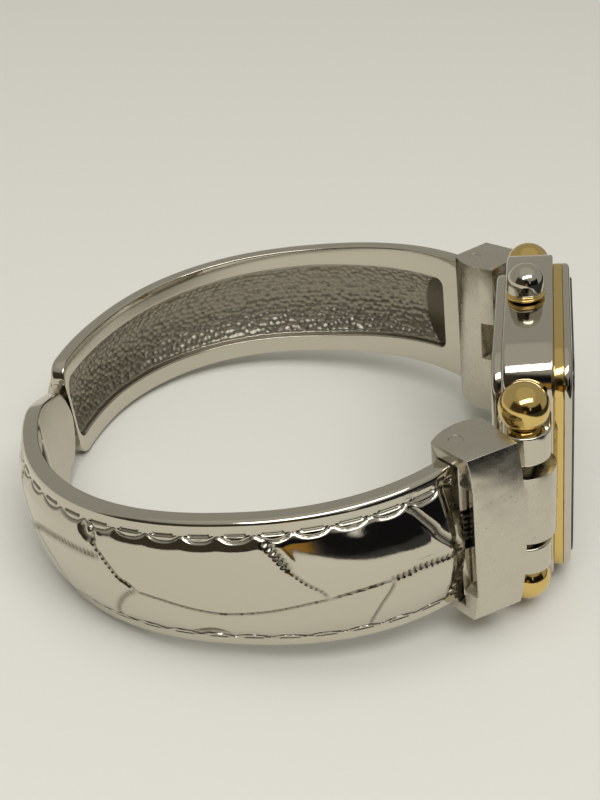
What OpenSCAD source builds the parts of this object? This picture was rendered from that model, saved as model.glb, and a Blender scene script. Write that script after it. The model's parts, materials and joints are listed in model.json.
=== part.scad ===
// Cuff watch: a cushion-cased quartz watch on a hinged two-arm bangle. Millimetres.
// The bangle's axis is Z and the dial looks along +X. The near arm lies at -Y, the crown on the +Z flank.
// The origin is the centre of the wrist opening.

/* [Bangle] */
// Half of the inner width across the wrist
inner_half_y = 28.5; // [27.5:0.1:30]
// Inner face of the bangle behind the wrist
back_x = -30.2; // [-32:0.1:-29]
// Exponent of the bangle's superellipse, where 2 is an ellipse
plan_power = 2.27; // [2.15:0.01:2.4]
// Thickness of an arm at its rims
rim_thick = 1.75; // [1.5:0.05:2]
// Rise of an arm's domed outer face above its rims
dome_rise = 1.5; // [0.8:0.05:1.7]
// Half width of an arm at the back of the wrist
back_half = 6.3; // [5.8:0.1:6.8]
// Reach of the near arm's rounded nose past the middle
nose_reach = 0.9; // [0:0.1:1.2]
// Half width of the near arm at its nose
nose_half = 3.7; // [3.2:0.1:4.6]
// Widening of the near arm behind its nose, per length
nose_taper = 0.36; // [0.2:0.02:0.4]
// Length of the nose's rounding
nose_round = 2; // [1.6:0.1:3]
// Gap between the nose and the far arm's blunt end
end_gap = 0.4; // [0.3:0.05:1]
// Corner radius of the far arm's blunt end
blunt_corner = 1; // [0.6:0.1:1.6]
// Flat border outside the dome
border = 2; // [1.6:0.1:2.4]
// Edge rounding of an arm's rims
rim_edge = 0.3; // [0.15:0.05:0.5]

/* [Arm pocket] */
// Rim left beside the pocket inside an arm
pocket_border = 2.2; // [1.8:0.1:2.8]
// Depth of the pocket at its sides
pocket_depth = 0.7; // [0.4:0.05:0.9]
// Crown of the smooth pads at the ends of the pocket
pad_crown = 0.15; // [0.05:0.05:0.25]
// Further depth at the middle of the pocket's floor
pocket_bow = 0.9; // [0.4:0.05:1.1]
// Length of the smooth pad inside the nose
pocket_nose = 6.6; // [4:0.1:8]
// Rim between the blunt end and its pocket
pocket_blunt = 1.1; // [0.8:0.1:2]
// Solid length at the hinge
pocket_root = 3.6; // [3:0.1:5]
// Narrowing of the pocket towards the hinge
pocket_narrow = 1.2; // [0:0.1:1.6]

/* [Hinges] */
// Hinge axis, towards the dial
hinge_x = 17; // [16.8:0.05:17.2]
// Hinge axis, out from the middle
hinge_y = 19.8; // [19.6:0.05:20]
// Direction in which an end block leaves its arm, in degrees
block_angle = 47.2; // [46:0.2:48.5]
// Radius of a hinge pin
hinge_pin_r = 0.7; // [0.6:0.02:0.75]
// Radius of a hinge barrel
barrel_r = 1.5; // [1.4:0.02:1.6]
// Opening of an arm, in degrees
open_angle = 22; // [15:1:24]
// Wire of a hinge spring
spring_wire = 0.4; // [0.3:0.02:0.44]
// Turns of a hinge spring
spring_turns = 6; // [4:1:7]

/* [End blocks] */
// Half height of an end block
block_half = 9.7; // [9.5:0.1:10.2]
// Thickness of the ears above and below the arm
ear_thick = 1.25; // [1.1:0.05:1.3]
// Length of an end block along its inner edge
block_len = 6.3; // [6:0.1:6.5]
// Wrist side of an end block, in from the hinge axis
block_in = 1.4; // [1.3:0.05:1.5]
// Outer side of an end block at its ends, out from the hinge axis
block_out = 3.45; // [3.3:0.05:3.7]
// Bow of the wrist side
block_bow = 0.9; // [0.7:0.05:1.1]
// Swell of the outer face at mid height
block_swell = 2.3; // [2.1:0.05:2.5]
// Radius of the tube between the lug horns
tube_r = 3.1; // [2.9:0.05:3.2]
// Half length of that tube
tube_half = 4; // [3.6:0.1:4.2]

/* [Case] */
// Outer face of the case back
head_back_x = 20; // [19.8:0.05:20.2]
// Thickness of the case back
back_thick = 1.1; // [0.9:0.05:1.2]
// Depth of the case middle
case_deep = 5; // [4.9:0.05:5.2]
// Half length of the case between the blocks
case_half_y = 13.2; // [13:0.05:13.4]
// Half width of the case between its flanks
case_half_z = 14; // [13.7:0.05:14.3]
// Corner radius of the case
case_corner = 3.8; // [3:0.1:4.5]
// Bevel on the edges of the case
case_bevel = 0.4; // [0.2:0.05:0.6]
// Wall between the flanks and the movement
flank_wall = 2; // [1.8:0.05:2.2]
// Wall between the lugs and the movement
end_wall = 2.6; // [2.5:0.05:2.7]
// Inset of the ring and bezel from the case outline
bezel_inset = 0.6; // [0.4:0.05:0.8]
// Height of the gold ring
ring_high = 1; // [0.8:0.05:1.1]
// Height of the bezel above the ring
bezel_high = 0.8; // [0.7:0.05:0.95]
// Width of the bezel's frame
bezel_wide = 1.5; // [1.3:0.05:1.7]
// Thickness of the glass
glass_thick = 1.2; // [1:0.05:1.3]
// Stand of the glass above the bezel
glass_proud = 0.25; // [0.1:0.05:0.4]

/* [Lugs] */
// Lug axis, towards the dial from the case back
lug_rise = 3.3; // [3.2:0.05:3.4]
// Lug axis, out from the end of the case
lug_out = 2.2; // [2.1:0.05:2.3]
// Radius of a lug horn
horn_r = 2.6; // [2.5:0.05:2.7]
// Inner end of a horn from mid height
horn_in = 5.1; // [4.9:0.1:5.3]
// Step from the end of a block down to the horn's outer end
horn_step = 1.3; // [1.2:0.05:1.5]
// Radius of a ball cap
ball_r = 2.5; // [2.3:0.05:2.6]
// Part of a ball's radius that its seat cuts off
ball_seat = 0.45; // [0.3:0.05:0.6]
// Radius of a lug pin
lug_pin_r = 0.75; // [0.65:0.02:0.8]

/* [Crown] */
// Radius of the crown's dome
crown_r = 1.95; // [1.8:0.05:2]
// Height of the crown above its collar
crown_high = 3.1; // [2.8:0.1:3.4]
// Height of the gold collar
collar_high = 1; // [0.8:0.05:1.2]
// Travel of the crown to its setting position
crown_travel = 1; // [0.6:0.1:1.2]
// Radius of the setting stem
stem_r = 0.4; // [0.35:0.01:0.45]

/* [Movement] */
// Thickness of the main plate
plate_thick = 0.8; // [0.7:0.05:0.9]
// Width of the plastic ring round the movement
holder_wide = 1.2; // [1:0.05:1.4]
// Thickness of the dial
dial_thick = 0.4; // [0.3:0.05:0.45]
// Gap between the centre wheel and the button cell
cell_gap = 0.5; // [0.3:0.05:0.6]
// Thickness of the button cell
cell_thick = 1.6; // [1.4:0.05:1.65]
// Distance from the centre to the intermediate wheel
step_distance = 3.6; // [3.5:0.05:3.7]
// Distance from the centre to the third wheel
third_distance = 3.4; // [3.3:0.05:3.5]
// Distance from the centre to the minute wheel
motion_distance = 2.4; // [2.3:0.05:2.5]
// Distance from the intermediate wheel to the rotor
rotor_distance = 2.8; // [2.7:0.05:2.9]
// Length of the minute hand
minute_len = 8.2; // [7:0.1:8.6]
// Length of the hour hand
hour_len = 5.4; // [4.5:0.1:6]
// Length of the second hand
second_len = 8; // [7:0.1:8.6]

/* [Hidden] */

steel = "silver";
gold = "gold";
round_fn = 64;
hull_fn = 40;
run_fit = 0.05;
seat_fit = 0.02;
loose_fit = 0.15;
over = 1;
rim_gap = 0.4;

// The arm fills the slot between a block's ears
root_half = block_half - ear_thick - loose_fit;
horn_out = block_half - horn_step;

// Planes across the head, counted along +X
case_x0 = head_back_x + back_thick;
case_x1 = case_x0 + case_deep;
ring_x1 = case_x1 + ring_high;
bezel_x1 = ring_x1 + bezel_high;
glass_x1 = bezel_x1 + glass_proud;
glass_x0 = glass_x1 - glass_thick;
lip_high = 1.5;
dial_x1 = case_x1 - lip_high;
dial_x0 = dial_x1 - dial_thick;
plate_x0 = dial_x0 - plate_thick;
lug_x = head_back_x + lug_rise;
lug_y = case_half_y + lug_out;
crown_x = lug_x;

// Half sizes of the openings in the head
cavity_y = case_half_y - end_wall;
cavity_z = case_half_z - flank_wall;
cavity_corner = 2.4;
bezel_y = case_half_y - bezel_inset;
bezel_z = case_half_z - bezel_inset;
bezel_corner = case_corner - bezel_inset / 2;
glass_y = bezel_y - bezel_wide;
glass_z = bezel_z - bezel_wide;
glass_corner = bezel_corner - bezel_wide / 2;
gasket_wide = 0.3;
window_wide = 0.7;
window_y = cavity_y - window_wide;
window_z = cavity_z - window_wide;
window_corner = cavity_corner - window_wide / 2;

// A child profile drawn in Y and Z, standing along +X from x0 to x1
module along_x(x0, x1) {
    translate([x0, 0, 0]) rotate([90, 0, 90]) linear_extrude(x1 - x0) children();
}

// A rounded rectangle with true round corners
module round_rect(half_a, half_b, r) {
    square([2 * half_a, 2 * (half_b - r)], center = true);
    square([2 * (half_a - r), 2 * half_b], center = true);
    for (a = [-1, 1], b = [-1, 1])
        translate([a * (half_a - r), b * (half_b - r)]) circle(r, $fn = round_fn);
}

module cushion(x0, x1, half_y, half_z, r) {
    along_x(x0, x1) round_rect(half_y, half_z, r);
}

// A cushion whose two outer edges are bevelled
module bevelled_cushion(x0, x1, half_y, half_z, r, back_bevel, front_bevel) {
    thin = 0.01;
    hull() {
        along_x(x0, x0 + thin) round_rect_mesh(half_y - back_bevel, half_z - back_bevel, r - back_bevel);
        along_x(x0 + back_bevel, x1 - front_bevel) round_rect_mesh(half_y, half_z, r);
        along_x(x1 - thin, x1) round_rect_mesh(half_y - front_bevel, half_z - front_bevel, r - front_bevel);
    }
}

module round_rect_mesh(half_a, half_b, r) {
    hull() for (a = [-1, 1], b = [-1, 1])
        translate([a * (half_a - r), b * (half_b - r)]) circle(r, $fn = hull_fn);
}

module disc_x(x0, x1, r, y = 0, z = 0, fn = round_fn) {
    translate([x0, y, z]) rotate([0, 90, 0]) cylinder(h = x1 - x0, r = r, $fn = fn);
}

module rod_z(x, y, z0, z1, r) {
    translate([x, y, z0]) cylinder(h = z1 - z0, r = r, $fn = round_fn);
}

// The far side mirrors the near side
module far_side() {
    mirror([0, 1, 0]) children();
}

// Case

module lug_horn(side) {
    z0 = side > 0 ? horn_in : -horn_out;
    web_y = lug_out + over;
    translate([0, 0, z0]) linear_extrude(horn_out - horn_in) {
        translate([lug_x, -lug_y]) circle(horn_r, $fn = round_fn);
        translate([case_x0 + case_bevel, -lug_y]) square([lug_x + horn_r - case_x0 - case_bevel, web_y]);
    }
}

module case_middle() {
    color(steel) difference() {
        union() {
            bevelled_cushion(case_x0, case_x1, case_half_y, case_half_z, case_corner, case_bevel,
                case_bevel / 2);
            for (side = [-1, 1]) {
                lug_horn(side);
                far_side() lug_horn(side);
            }
        }
        cushion(case_x0 - over, dial_x1, cavity_y, cavity_z, cavity_corner);
        cushion(dial_x1 - over, case_x1 + over, window_y, window_z, window_corner);
        for (y = [-lug_y, lug_y]) {
            rod_z(lug_x, y, -horn_in, horn_in, tube_r + loose_fit);
            rod_z(lug_x, y, -horn_out - over, horn_out + over, lug_pin_r + seat_fit);
        }
        rod_z(crown_x, 0, cavity_z - over, case_half_z + over, tube_out_r + seat_fit);
        for (y = [-lug_y, lug_y], side = [-1, 1]) ball_form(y, side, ball_r + seat_fit);
    }
}

back_inset = 1.4;
snap_high = 0.9;
snap_wide = 0.8;
seal_high = 0.4;

module case_back() {
    color(steel) {
        bevelled_cushion(head_back_x, case_x0 - seat_fit, case_half_y - back_inset, case_half_z - back_inset,
            case_corner, back_thick / 2, case_bevel / 2);
        difference() {
            cushion(case_x0 - back_thick / 2, case_x0 + snap_high, cavity_y - run_fit, cavity_z - run_fit,
                cavity_corner);
            cushion(case_x0, case_x0 + snap_high + over, cavity_y - snap_wide, cavity_z - snap_wide,
                cavity_corner - snap_wide / 2);
        }
    }
}

module case_back_gasket() {
    color("dimgray") difference() {
        cushion(case_x0 + snap_high, case_x0 + snap_high + seal_high, cavity_y - run_fit, cavity_z - run_fit,
            cavity_corner);
        cushion(case_x0, case_x1, cavity_y - snap_wide, cavity_z - snap_wide, cavity_corner - snap_wide / 2);
    }
}

module gold_ring() {
    color(gold) difference() {
        cushion(case_x1, ring_x1, bezel_y, bezel_z, bezel_corner);
        cushion(case_x1 - over, ring_x1 + over, glass_y, glass_z, glass_corner);
    }
}

module bezel() {
    bezel_bevel = bezel_high / 2;
    color(steel) difference() {
        bevelled_cushion(ring_x1, bezel_x1, bezel_y, bezel_z, bezel_corner, 0, bezel_bevel);
        cushion(ring_x1 - over, bezel_x1 + over, glass_y, glass_z, glass_corner);
    }
}

module crystal() {
    glass_bevel = glass_proud / 2;
    edge_y = glass_y - gasket_wide;
    edge_z = glass_z - gasket_wide;
    color([0.85, 0.9, 0.92, 0.4])
        bevelled_cushion(glass_x0, glass_x1, edge_y, edge_z, glass_corner - gasket_wide / 2, 0, glass_bevel);
}

module crystal_gasket() {
    inner_y = glass_y - gasket_wide + run_fit;
    inner_z = glass_z - gasket_wide + run_fit;
    color("dimgray") difference() {
        cushion(glass_x0, bezel_x1 - 2 * run_fit, glass_y - run_fit, glass_z - run_fit, glass_corner);
        cushion(glass_x0 - over, glass_x1, inner_y, inner_z, glass_corner - gasket_wide / 2);
    }
}

flange_wide = 0.6;

module dial_flange() {
    color("white") difference() {
        cushion(dial_x1, glass_x0 - run_fit, window_y - run_fit, window_z - run_fit, window_corner);
        cushion(dial_x1 - over, glass_x0 + over, window_y - flange_wide, window_z - flange_wide,
            window_corner - flange_wide / 2);
    }
}

// Dial and hands

hand_thick = 0.15;
hand_gap = 0.22;
marker_high = 0.15;
hour_hand_x = dial_x1 + marker_high + hand_gap;
minute_hand_x = hour_hand_x + hand_thick + hand_gap;
second_hand_x = minute_hand_x + hand_thick + hand_gap;
second_arbor_r = 0.2;
minute_tube_r = 0.42;
hour_tube_r = 0.68;

module dial() {
    color("whitesmoke") difference() {
        cushion(dial_x0, dial_x1, cavity_y - run_fit, cavity_z - run_fit, cavity_corner);
        disc_x(dial_x0 - over, dial_x1 + over, hour_tube_r + run_fit);
    }
}

module hour_markers() {
    bar_len = 1.3;
    bar_wide = 0.35;
    inner_y = window_y - flange_wide;
    inner_z = window_z - flange_wide;
    color(gold) for (hour = [0:11]) {
        a = hour * 30;
        reach = min(inner_y / max(abs(sin(a)), 0.001), inner_z / max(abs(cos(a)), 0.001), inner_z) - 0.5;
        rotate([a, 0, 0]) translate([dial_x1, -bar_wide / 2, reach - bar_len])
            cube([marker_high, bar_wide, bar_len]);
    }
}

// A hand that points along +Z, turned by angle about X
module hand(x0, hub_r, bore_r, len, wide, tail, angle) {
    rotate([angle, 0, 0]) difference() {
        union() {
            disc_x(x0, x0 + hand_thick, hub_r);
            along_x(x0 + hand_thick / 5, x0 + hand_thick * 0.8) polygon([[-wide / 2, 0],
                [-wide / 4, len - wide], [0, len], [wide / 4, len - wide], [wide / 2, 0],
                [wide / 4, -tail], [-wide / 4, -tail]]);
        }
        disc_x(x0 - over, x0 + hand_thick + over, bore_r);
    }
}

tail_share = 0.19;
second_tail_share = 0.28;
hour_at = 55;
minute_at = -58;
second_at = 150;

module hour_hand() {
    color(gold) hand(hour_hand_x, hour_tube_r + 0.35, hour_tube_r + seat_fit, hour_len, 0.8,
        tail_share * hour_len, hour_at);
}

module minute_hand() {
    color(gold) hand(minute_hand_x, minute_tube_r + 0.35, minute_tube_r + seat_fit, minute_len, 0.65,
        tail_share * minute_len, minute_at);
}

module second_hand() {
    color(gold) hand(second_hand_x, second_arbor_r + 0.3, second_arbor_r + seat_fit, second_len, 0.22,
        second_tail_share * second_len, second_at);
}

// Movement

plate_y = cavity_y - holder_wide;
plate_z = cavity_z - holder_wide;
plate_corner = cavity_corner - holder_wide / 2;
train_x0 = plate_x0 - 1.3;
bridge_thick = 0.3;
bridge_x0 = train_x0 - bridge_thick;
board_thick = 0.25;
board_x0 = bridge_x0 - board_thick;
wheel_thick = 0.14;
arbor_r = 0.12;
pivot_r = 0.1;
train_gap = 0.05;

// Places of the wheels as [y, z]
step_dir = 62;
third_dir = 190;
motion_dir = -60;
rotor_dir = 120;
step_at = step_distance * [cos(step_dir), sin(step_dir)];
third_at = third_distance * [cos(third_dir), sin(third_dir)];
motion_at = motion_distance * [cos(motion_dir), sin(motion_dir)];
rotor_at = step_at + rotor_distance * [cos(rotor_dir), sin(rotor_dir)];
coil_at = [-plate_y + 1.6, 4.2];

// Tooth counts
rotor_teeth = 8;
step_teeth = 48;
step_pinion = 12;
second_teeth = 60;
second_pinion = 8;
third_teeth = 60;
third_pinion = 10;
centre_teeth = 80;
cannon_teeth = 12;
motion_teeth = 36;
motion_pinion = 10;
hour_teeth = 40;

// The module of a gear pair, from its centre distance and tooth counts
function pair_module(distance, teeth_a, teeth_b) = 2 * distance / (teeth_a + teeth_b);

// One gear as a profile: teeth stand at phase plus a whole number of pitches
module gear_profile(teeth, m, phase) {
    pitch_r = teeth * m / 2;
    root_r = pitch_r - 0.9 * m;
    tip_r = pitch_r + 0.7 * m;
    half_root = 0.28 * 360 / teeth;
    half_tip = 0.13 * 360 / teeth;
    tooth = [[root_r, -half_root], [tip_r, -half_tip], [tip_r, half_tip], [root_r, half_root]];
    polygon([for (i = [0:teeth - 1], c = tooth)
        let (a = phase + i * 360 / teeth + c[1]) c[0] * [cos(a), sin(a)]]);
}

module gear(x0, x1, at, teeth, m, phase, bore) {
    along_x(x0, x1) translate(at) difference() {
        gear_profile(teeth, m, phase);
        if (bore > 0) circle(bore, $fn = 24);
    }
}

rotor_m = pair_module(rotor_distance, rotor_teeth, step_teeth);
step_m = pair_module(step_distance, step_pinion, second_teeth);
second_m = pair_module(third_distance, second_pinion, third_teeth);
centre_m = pair_module(third_distance, third_pinion, centre_teeth);

// The button cell fills the plate between the centre wheel and the rim
centre_tip = centre_m * (centre_teeth / 2 + 0.7);
cell_r = (plate_z - rim_gap - centre_tip - cell_gap) / 2;
cell_at = [0, -(plate_z - cell_r - rim_gap)];
cannon_m = pair_module(motion_distance, cannon_teeth, motion_teeth);
hour_m = pair_module(motion_distance, motion_pinion, hour_teeth);

// Layers of the train, from the plate towards the back
centre_wheel_x = plate_x0 - train_gap - wheel_thick;
third_wheel_x = centre_wheel_x - 0.42;
second_wheel_x = third_wheel_x - 0.42;
step_wheel_x = third_wheel_x;

module rotor() {
    color("dimgray") {
        disc_x(train_x0 + train_gap, plate_x0 - train_gap, arbor_r, rotor_at[0], rotor_at[1], 24);
        gear(step_wheel_x - 0.08, step_wheel_x + wheel_thick + 0.08, rotor_at, rotor_teeth, rotor_m,
            rotor_dir + 180, 0);
        disc_x(train_x0 + 2 * train_gap, step_wheel_x - 0.12, 0.6, rotor_at[0], rotor_at[1]);
    }
}

module intermediate_wheel() {
    color("khaki") {
        disc_x(train_x0 + train_gap, plate_x0 - train_gap, arbor_r, step_at[0], step_at[1], 24);
        gear(step_wheel_x, step_wheel_x + wheel_thick, step_at, step_teeth, rotor_m,
            rotor_dir + 180 / step_teeth, 0);
        gear(second_wheel_x - 0.06, second_wheel_x + wheel_thick + 0.06, step_at, step_pinion, step_m,
            step_dir + 180, 0);
    }
}

module second_wheel() {
    color("khaki") {
        disc_x(train_x0 + train_gap, second_hand_x + hand_thick, second_arbor_r, 0, 0, 24);
        gear(second_wheel_x, second_wheel_x + wheel_thick, [0, 0], second_teeth, step_m,
            step_dir + 180 / second_teeth, 0);
        gear(third_wheel_x - 0.06, third_wheel_x + wheel_thick + 0.06, [0, 0], second_pinion, second_m,
            third_dir, 0);
    }
}

module third_wheel() {
    color("khaki") {
        disc_x(train_x0 + train_gap, plate_x0 - train_gap / 2, arbor_r, third_at[0], third_at[1], 24);
        gear(third_wheel_x, third_wheel_x + wheel_thick, third_at, third_teeth, second_m,
            third_dir + 180 + 180 / third_teeth, 0);
        gear(centre_wheel_x - 0.06, plate_x0 - train_gap / 2, third_at, third_pinion, centre_m,
            third_dir + 180, 0);
    }
}

cannon_x0 = plate_x0 + 0.4;
cannon_x1 = cannon_x0 + 0.3;

module centre_wheel() {
    bore = second_arbor_r + run_fit;
    color("khaki") {
        gear(centre_wheel_x, centre_wheel_x + wheel_thick, [0, 0], centre_teeth, centre_m,
            third_dir + 180 / centre_teeth, bore);
        difference() {
            disc_x(centre_wheel_x, minute_hand_x + hand_thick, minute_tube_r);
            disc_x(centre_wheel_x - over, minute_hand_x + over, bore, 0, 0, 24);
        }
        gear(cannon_x0, cannon_x1, [0, 0], cannon_teeth, cannon_m, motion_dir, bore);
    }
}

hour_wheel_x0 = cannon_x1 + 0.02;

module minute_wheel() {
    color("khaki") {
        gear(cannon_x0 + 0.1, cannon_x0 + 0.1 + wheel_thick, motion_at, motion_teeth, cannon_m,
            motion_dir + 180 + 180 / motion_teeth, pivot_r + run_fit);
        gear(cannon_x0 + 0.1 + wheel_thick, dial_x0 - seat_fit, motion_at, motion_pinion, hour_m,
            motion_dir + 180, pivot_r + run_fit);
    }
}

module hour_wheel() {
    bore = minute_tube_r + run_fit;
    hour_x1 = dial_x0 - seat_fit;
    color("khaki") {
        gear(hour_wheel_x0, hour_x1, [0, 0], hour_teeth, hour_m, motion_dir + 180 / hour_teeth, bore);
        difference() {
            disc_x(hour_wheel_x0, hour_hand_x + hand_thick, hour_tube_r);
            disc_x(hour_wheel_x0 - over, hour_hand_x + over, bore);
        }
    }
}

screw_r = 0.35;
pillar_r = 0.6;
pillar_in = 3.2;
screw_at = [[-(plate_y - 1.8), -1.8], [plate_y / 2, -1.2], [plate_y - 2.8, plate_z - pillar_in]];

module main_plate() {
    recess_r = hour_teeth * hour_m / 2 + hour_m + 0.1;
    motion_r = motion_teeth * cannon_m / 2 + cannon_m + 0.1;
    color("gainsboro") {
        difference() {
            cushion(plate_x0, dial_x0, plate_y - run_fit, plate_z - run_fit, plate_corner);
            disc_x(plate_x0 - over, dial_x0, minute_tube_r + run_fit);
            disc_x(cannon_x0 - train_gap, dial_x0 + over, recess_r);
            disc_x(cannon_x0 - train_gap, dial_x0 + over, motion_r, motion_at[0], motion_at[1]);
            rod_z(crown_x, 0, stem_z0 - 0.3, plate_z + over, stem_r + run_fit);
        }
        disc_x(cannon_x0 - 2 * train_gap, dial_x0 - 0.05, pivot_r, motion_at[0], motion_at[1], 24);
        for (p = screw_at) disc_x(train_x0, plate_x0, pillar_r, p[0], p[1]);
    }
}

module movement_holder() {
    holder_x0 = case_x0 + snap_high + seal_high;
    color("ivory") difference() {
        cushion(holder_x0, dial_x0, cavity_y - run_fit, cavity_z - run_fit, cavity_corner);
        cushion(holder_x0 - over, dial_x0 + over, plate_y, plate_z, plate_corner);
        rod_z(crown_x, 0, plate_z - over, cavity_z + over, stem_r + 3 * run_fit);
    }
}

module train_bridge() {
    color("gold") difference() {
        along_x(bridge_x0, train_x0) intersection() {
            round_rect(plate_y - 0.3, plate_z - 0.3, plate_corner);
            translate([-plate_y, cell_at[1] + cell_r + 0.5]) square([2 * plate_y, 2 * plate_z]);
        }
        for (p = screw_at) disc_x(bridge_x0 - over, train_x0 + over, screw_r + run_fit, p[0], p[1]);
        translate([bridge_x0 - over, coil_at[0] - coil_r - 0.2, coil_at[1] - coil_len / 2 - 0.4])
            cube([bridge_thick + 2 * over, 2 * coil_r + 0.4, coil_len + 0.8]);
    }
}

module bridge_screws() {
    color(steel) for (p = screw_at) {
        disc_x(bridge_x0 - seat_fit, train_x0, screw_r, p[0], p[1], 24);
        difference() {
            disc_x(bridge_x0 - seat_fit - 0.2, bridge_x0 - seat_fit, pillar_r, p[0], p[1]);
            translate([bridge_x0 - 0.35, p[0] - 1, p[1] - 0.08]) cube([0.25, 2, 0.16]);
        }
    }
}

board_y0 = -0.5;
board_z0 = 3.2;
board_wide = 6.4;
can_r = 0.3;
can_at = [board_y0 + 1.7, board_z0 + 1.2];
can_len = plate_z - rim_gap - 1.8 - can_at[1];

// The quartz can lies in a slot of the board
module circuit_board() {
    color("darkgreen") along_x(board_x0, bridge_x0 - seat_fit) difference() {
        translate([board_y0, board_z0]) square([board_wide, plate_z - rim_gap - 0.6 - board_z0]);
        translate(screw_at[2]) circle(pillar_r + loose_fit, $fn = round_fn);
        translate(can_at - [can_r + run_fit, run_fit])
            square([2 * can_r + 2 * run_fit, can_len + 2 * run_fit]);
    }
}

module quartz_can() {
    can_x = bridge_x0 - run_fit - can_r;
    color("silver") rod_z(can_x, can_at[0], can_at[1], can_at[1] + can_len, can_r);
}

coil_r = 0.6;
coil_len = 6.4;

module coil() {
    color("peru") difference() {
        rod_z(train_x0 + coil_r + train_gap, coil_at[0], coil_at[1] - coil_len / 2, coil_at[1] + coil_len / 2,
            coil_r);
        rod_z(train_x0 + coil_r + train_gap, coil_at[0], coil_at[1] - coil_len, coil_at[1] + coil_len,
            core_r + seat_fit);
    }
}

core_r = 0.3;
stator_thick = 0.3;

// Core through the coil and the iron plate with its hole round the rotor's magnet
module stator() {
    stator_x0 = train_x0 + 2 * train_gap;
    arm_y0 = coil_at[0] - 0.5;
    arm_y1 = rotor_at[0] + 1.1;
    color("lightsteelblue") {
        rod_z(train_x0 + coil_r + train_gap, coil_at[0], coil_at[1] - coil_len / 2 - 0.3,
            coil_at[1] + coil_len / 2 + 0.3, core_r);
        difference() {
            union() {
                translate([stator_x0, arm_y0, coil_at[1] + coil_len / 2 + 0.05])
                    cube([train_x0 + coil_r + train_gap - stator_x0, 1, 0.6]);
                translate([stator_x0, arm_y0, coil_at[1] + coil_len / 2 + 0.05])
                    cube([stator_thick, arm_y1 - arm_y0, 0.6]);
                disc_x(stator_x0, stator_x0 + stator_thick, 1.1, rotor_at[0], rotor_at[1]);
                translate([stator_x0, rotor_at[0] - 0.5, rotor_at[1]])
                    cube([stator_thick, 1, coil_at[1] + coil_len / 2 + 0.3 - rotor_at[1]]);
            }
            disc_x(stator_x0 - over, stator_x0 + stator_thick + over, 0.75, rotor_at[0], rotor_at[1]);
        }
    }
}

cell_x1 = plate_x0 - seat_fit;
cell_x0 = cell_x1 - cell_thick;

module battery() {
    color("lightgray") {
        disc_x(cell_x0 + 0.2, cell_x1, cell_r, cell_at[0], cell_at[1]);
        disc_x(cell_x0, cell_x0 + 0.2, cell_r - 0.5, cell_at[0], cell_at[1]);
    }
}

module battery_clamp() {
    strap_thick = 0.15;
    strap_half = 1;
    foot_y = cell_r + 0.5;
    color("gold") {
        translate([cell_x0 - seat_fit - strap_thick, -foot_y, cell_at[1] - strap_half])
            cube([strap_thick, 2 * foot_y, 2 * strap_half]);
        for (side = [-1, 1])
            translate([cell_x0 - seat_fit - strap_thick, side > 0 ? foot_y - strap_thick : -foot_y,
                cell_at[1] - strap_half])
                cube([plate_x0 - cell_x0 + strap_thick, strap_thick, 2 * strap_half]);
    }
}

// Crown

stem_z0 = 7.4;
tube_in_r = 0.62;
tube_out_r = 0.9;
tube_stand = 1.1;
crown_gap = 0.25;
collar_z0 = case_half_z + crown_gap;
dome_z0 = collar_z0 + collar_high;
seal_r = 1.15;
stem_in_crown = 1.2;

module setting_stem() {
    color(steel) rod_z(crown_x, 0, stem_z0, dome_z0 + stem_in_crown, stem_r);
}

module crown_tube() {
    color(steel) difference() {
        rod_z(crown_x, 0, cavity_z + run_fit, case_half_z + tube_stand, tube_out_r);
        rod_z(crown_x, 0, cavity_z - over, case_half_z + tube_stand + over, tube_in_r);
    }
}

module crown_gasket() {
    color("dimgray") difference() {
        rod_z(crown_x, 0, collar_z0 + 0.3, collar_z0 + 0.3 + seal_high, seal_r);
        rod_z(crown_x, 0, collar_z0 - over, dome_z0 + over, tube_out_r + run_fit);
    }
}

module crown() {
    color(steel) translate([crown_x, 0, 0]) difference() {
        union() {
            translate([0, 0, dome_z0]) cylinder(h = crown_high - crown_r + 0.3, r = crown_r, $fn = round_fn);
            translate([0, 0, dome_z0 + crown_high - crown_r]) sphere(crown_r, $fn = round_fn);
        }
        translate([0, 0, dome_z0 - 2 * crown_r]) cylinder(h = 2 * crown_r, r = 2 * crown_r, $fn = round_fn);
        translate([0, 0, dome_z0 - over])
            cylinder(h = over + stem_in_crown + seat_fit, r = stem_r + seat_fit, $fn = round_fn);
        translate([0, 0, dome_z0 - over]) cylinder(h = over + 0.3, r = seal_r + run_fit, $fn = round_fn);
    }
}

module crown_collar() {
    step_r = crown_r + 0.15;
    color(gold) difference() {
        union() {
            rod_z(crown_x, 0, collar_z0 + collar_high / 3, dome_z0, crown_r - 0.2);
            rod_z(crown_x, 0, collar_z0 + collar_high / 2, collar_z0 + collar_high * 0.8, step_r);
            rod_z(crown_x, 0, collar_z0, collar_z0 + collar_high / 2, crown_r - 0.5);
        }
        rod_z(crown_x, 0, collar_z0 - over, dome_z0 + over, seal_r + run_fit);
    }
}

// Lug pins and ball caps

ball_z = horn_out + ball_r - ball_seat;
pin_in_ball = 1.4;

module lug_pin(y) {
    color(steel) rod_z(lug_x, y, -horn_out - pin_in_ball, horn_out + pin_in_ball, lug_pin_r);
}

module near_lug_pin() {
    lug_pin(-lug_y);
}

module far_lug_pin() {
    lug_pin(lug_y);
}

// A ball cut off flat where it sits on its horn
module ball_form(y, side, r) {
    translate([lug_x, y, 0]) difference() {
        translate([0, 0, side * ball_z]) sphere(r, $fn = round_fn);
        translate([0, 0, side > 0 ? horn_out - 2 * ball_r : -horn_out])
            cylinder(h = 2 * ball_r, r = 2 * ball_r, $fn = round_fn);
    }
}

module ball_cap(y, side) {
    color(gold) difference() {
        ball_form(y, side, ball_r);
        translate([lug_x, y, side > 0 ? horn_out - over : -horn_out - pin_in_ball - seat_fit])
            cylinder(h = pin_in_ball + over + seat_fit, r = lug_pin_r + seat_fit, $fn = round_fn);
    }
}

module near_upper_ball() {
    ball_cap(-lug_y, 1);
}

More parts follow.
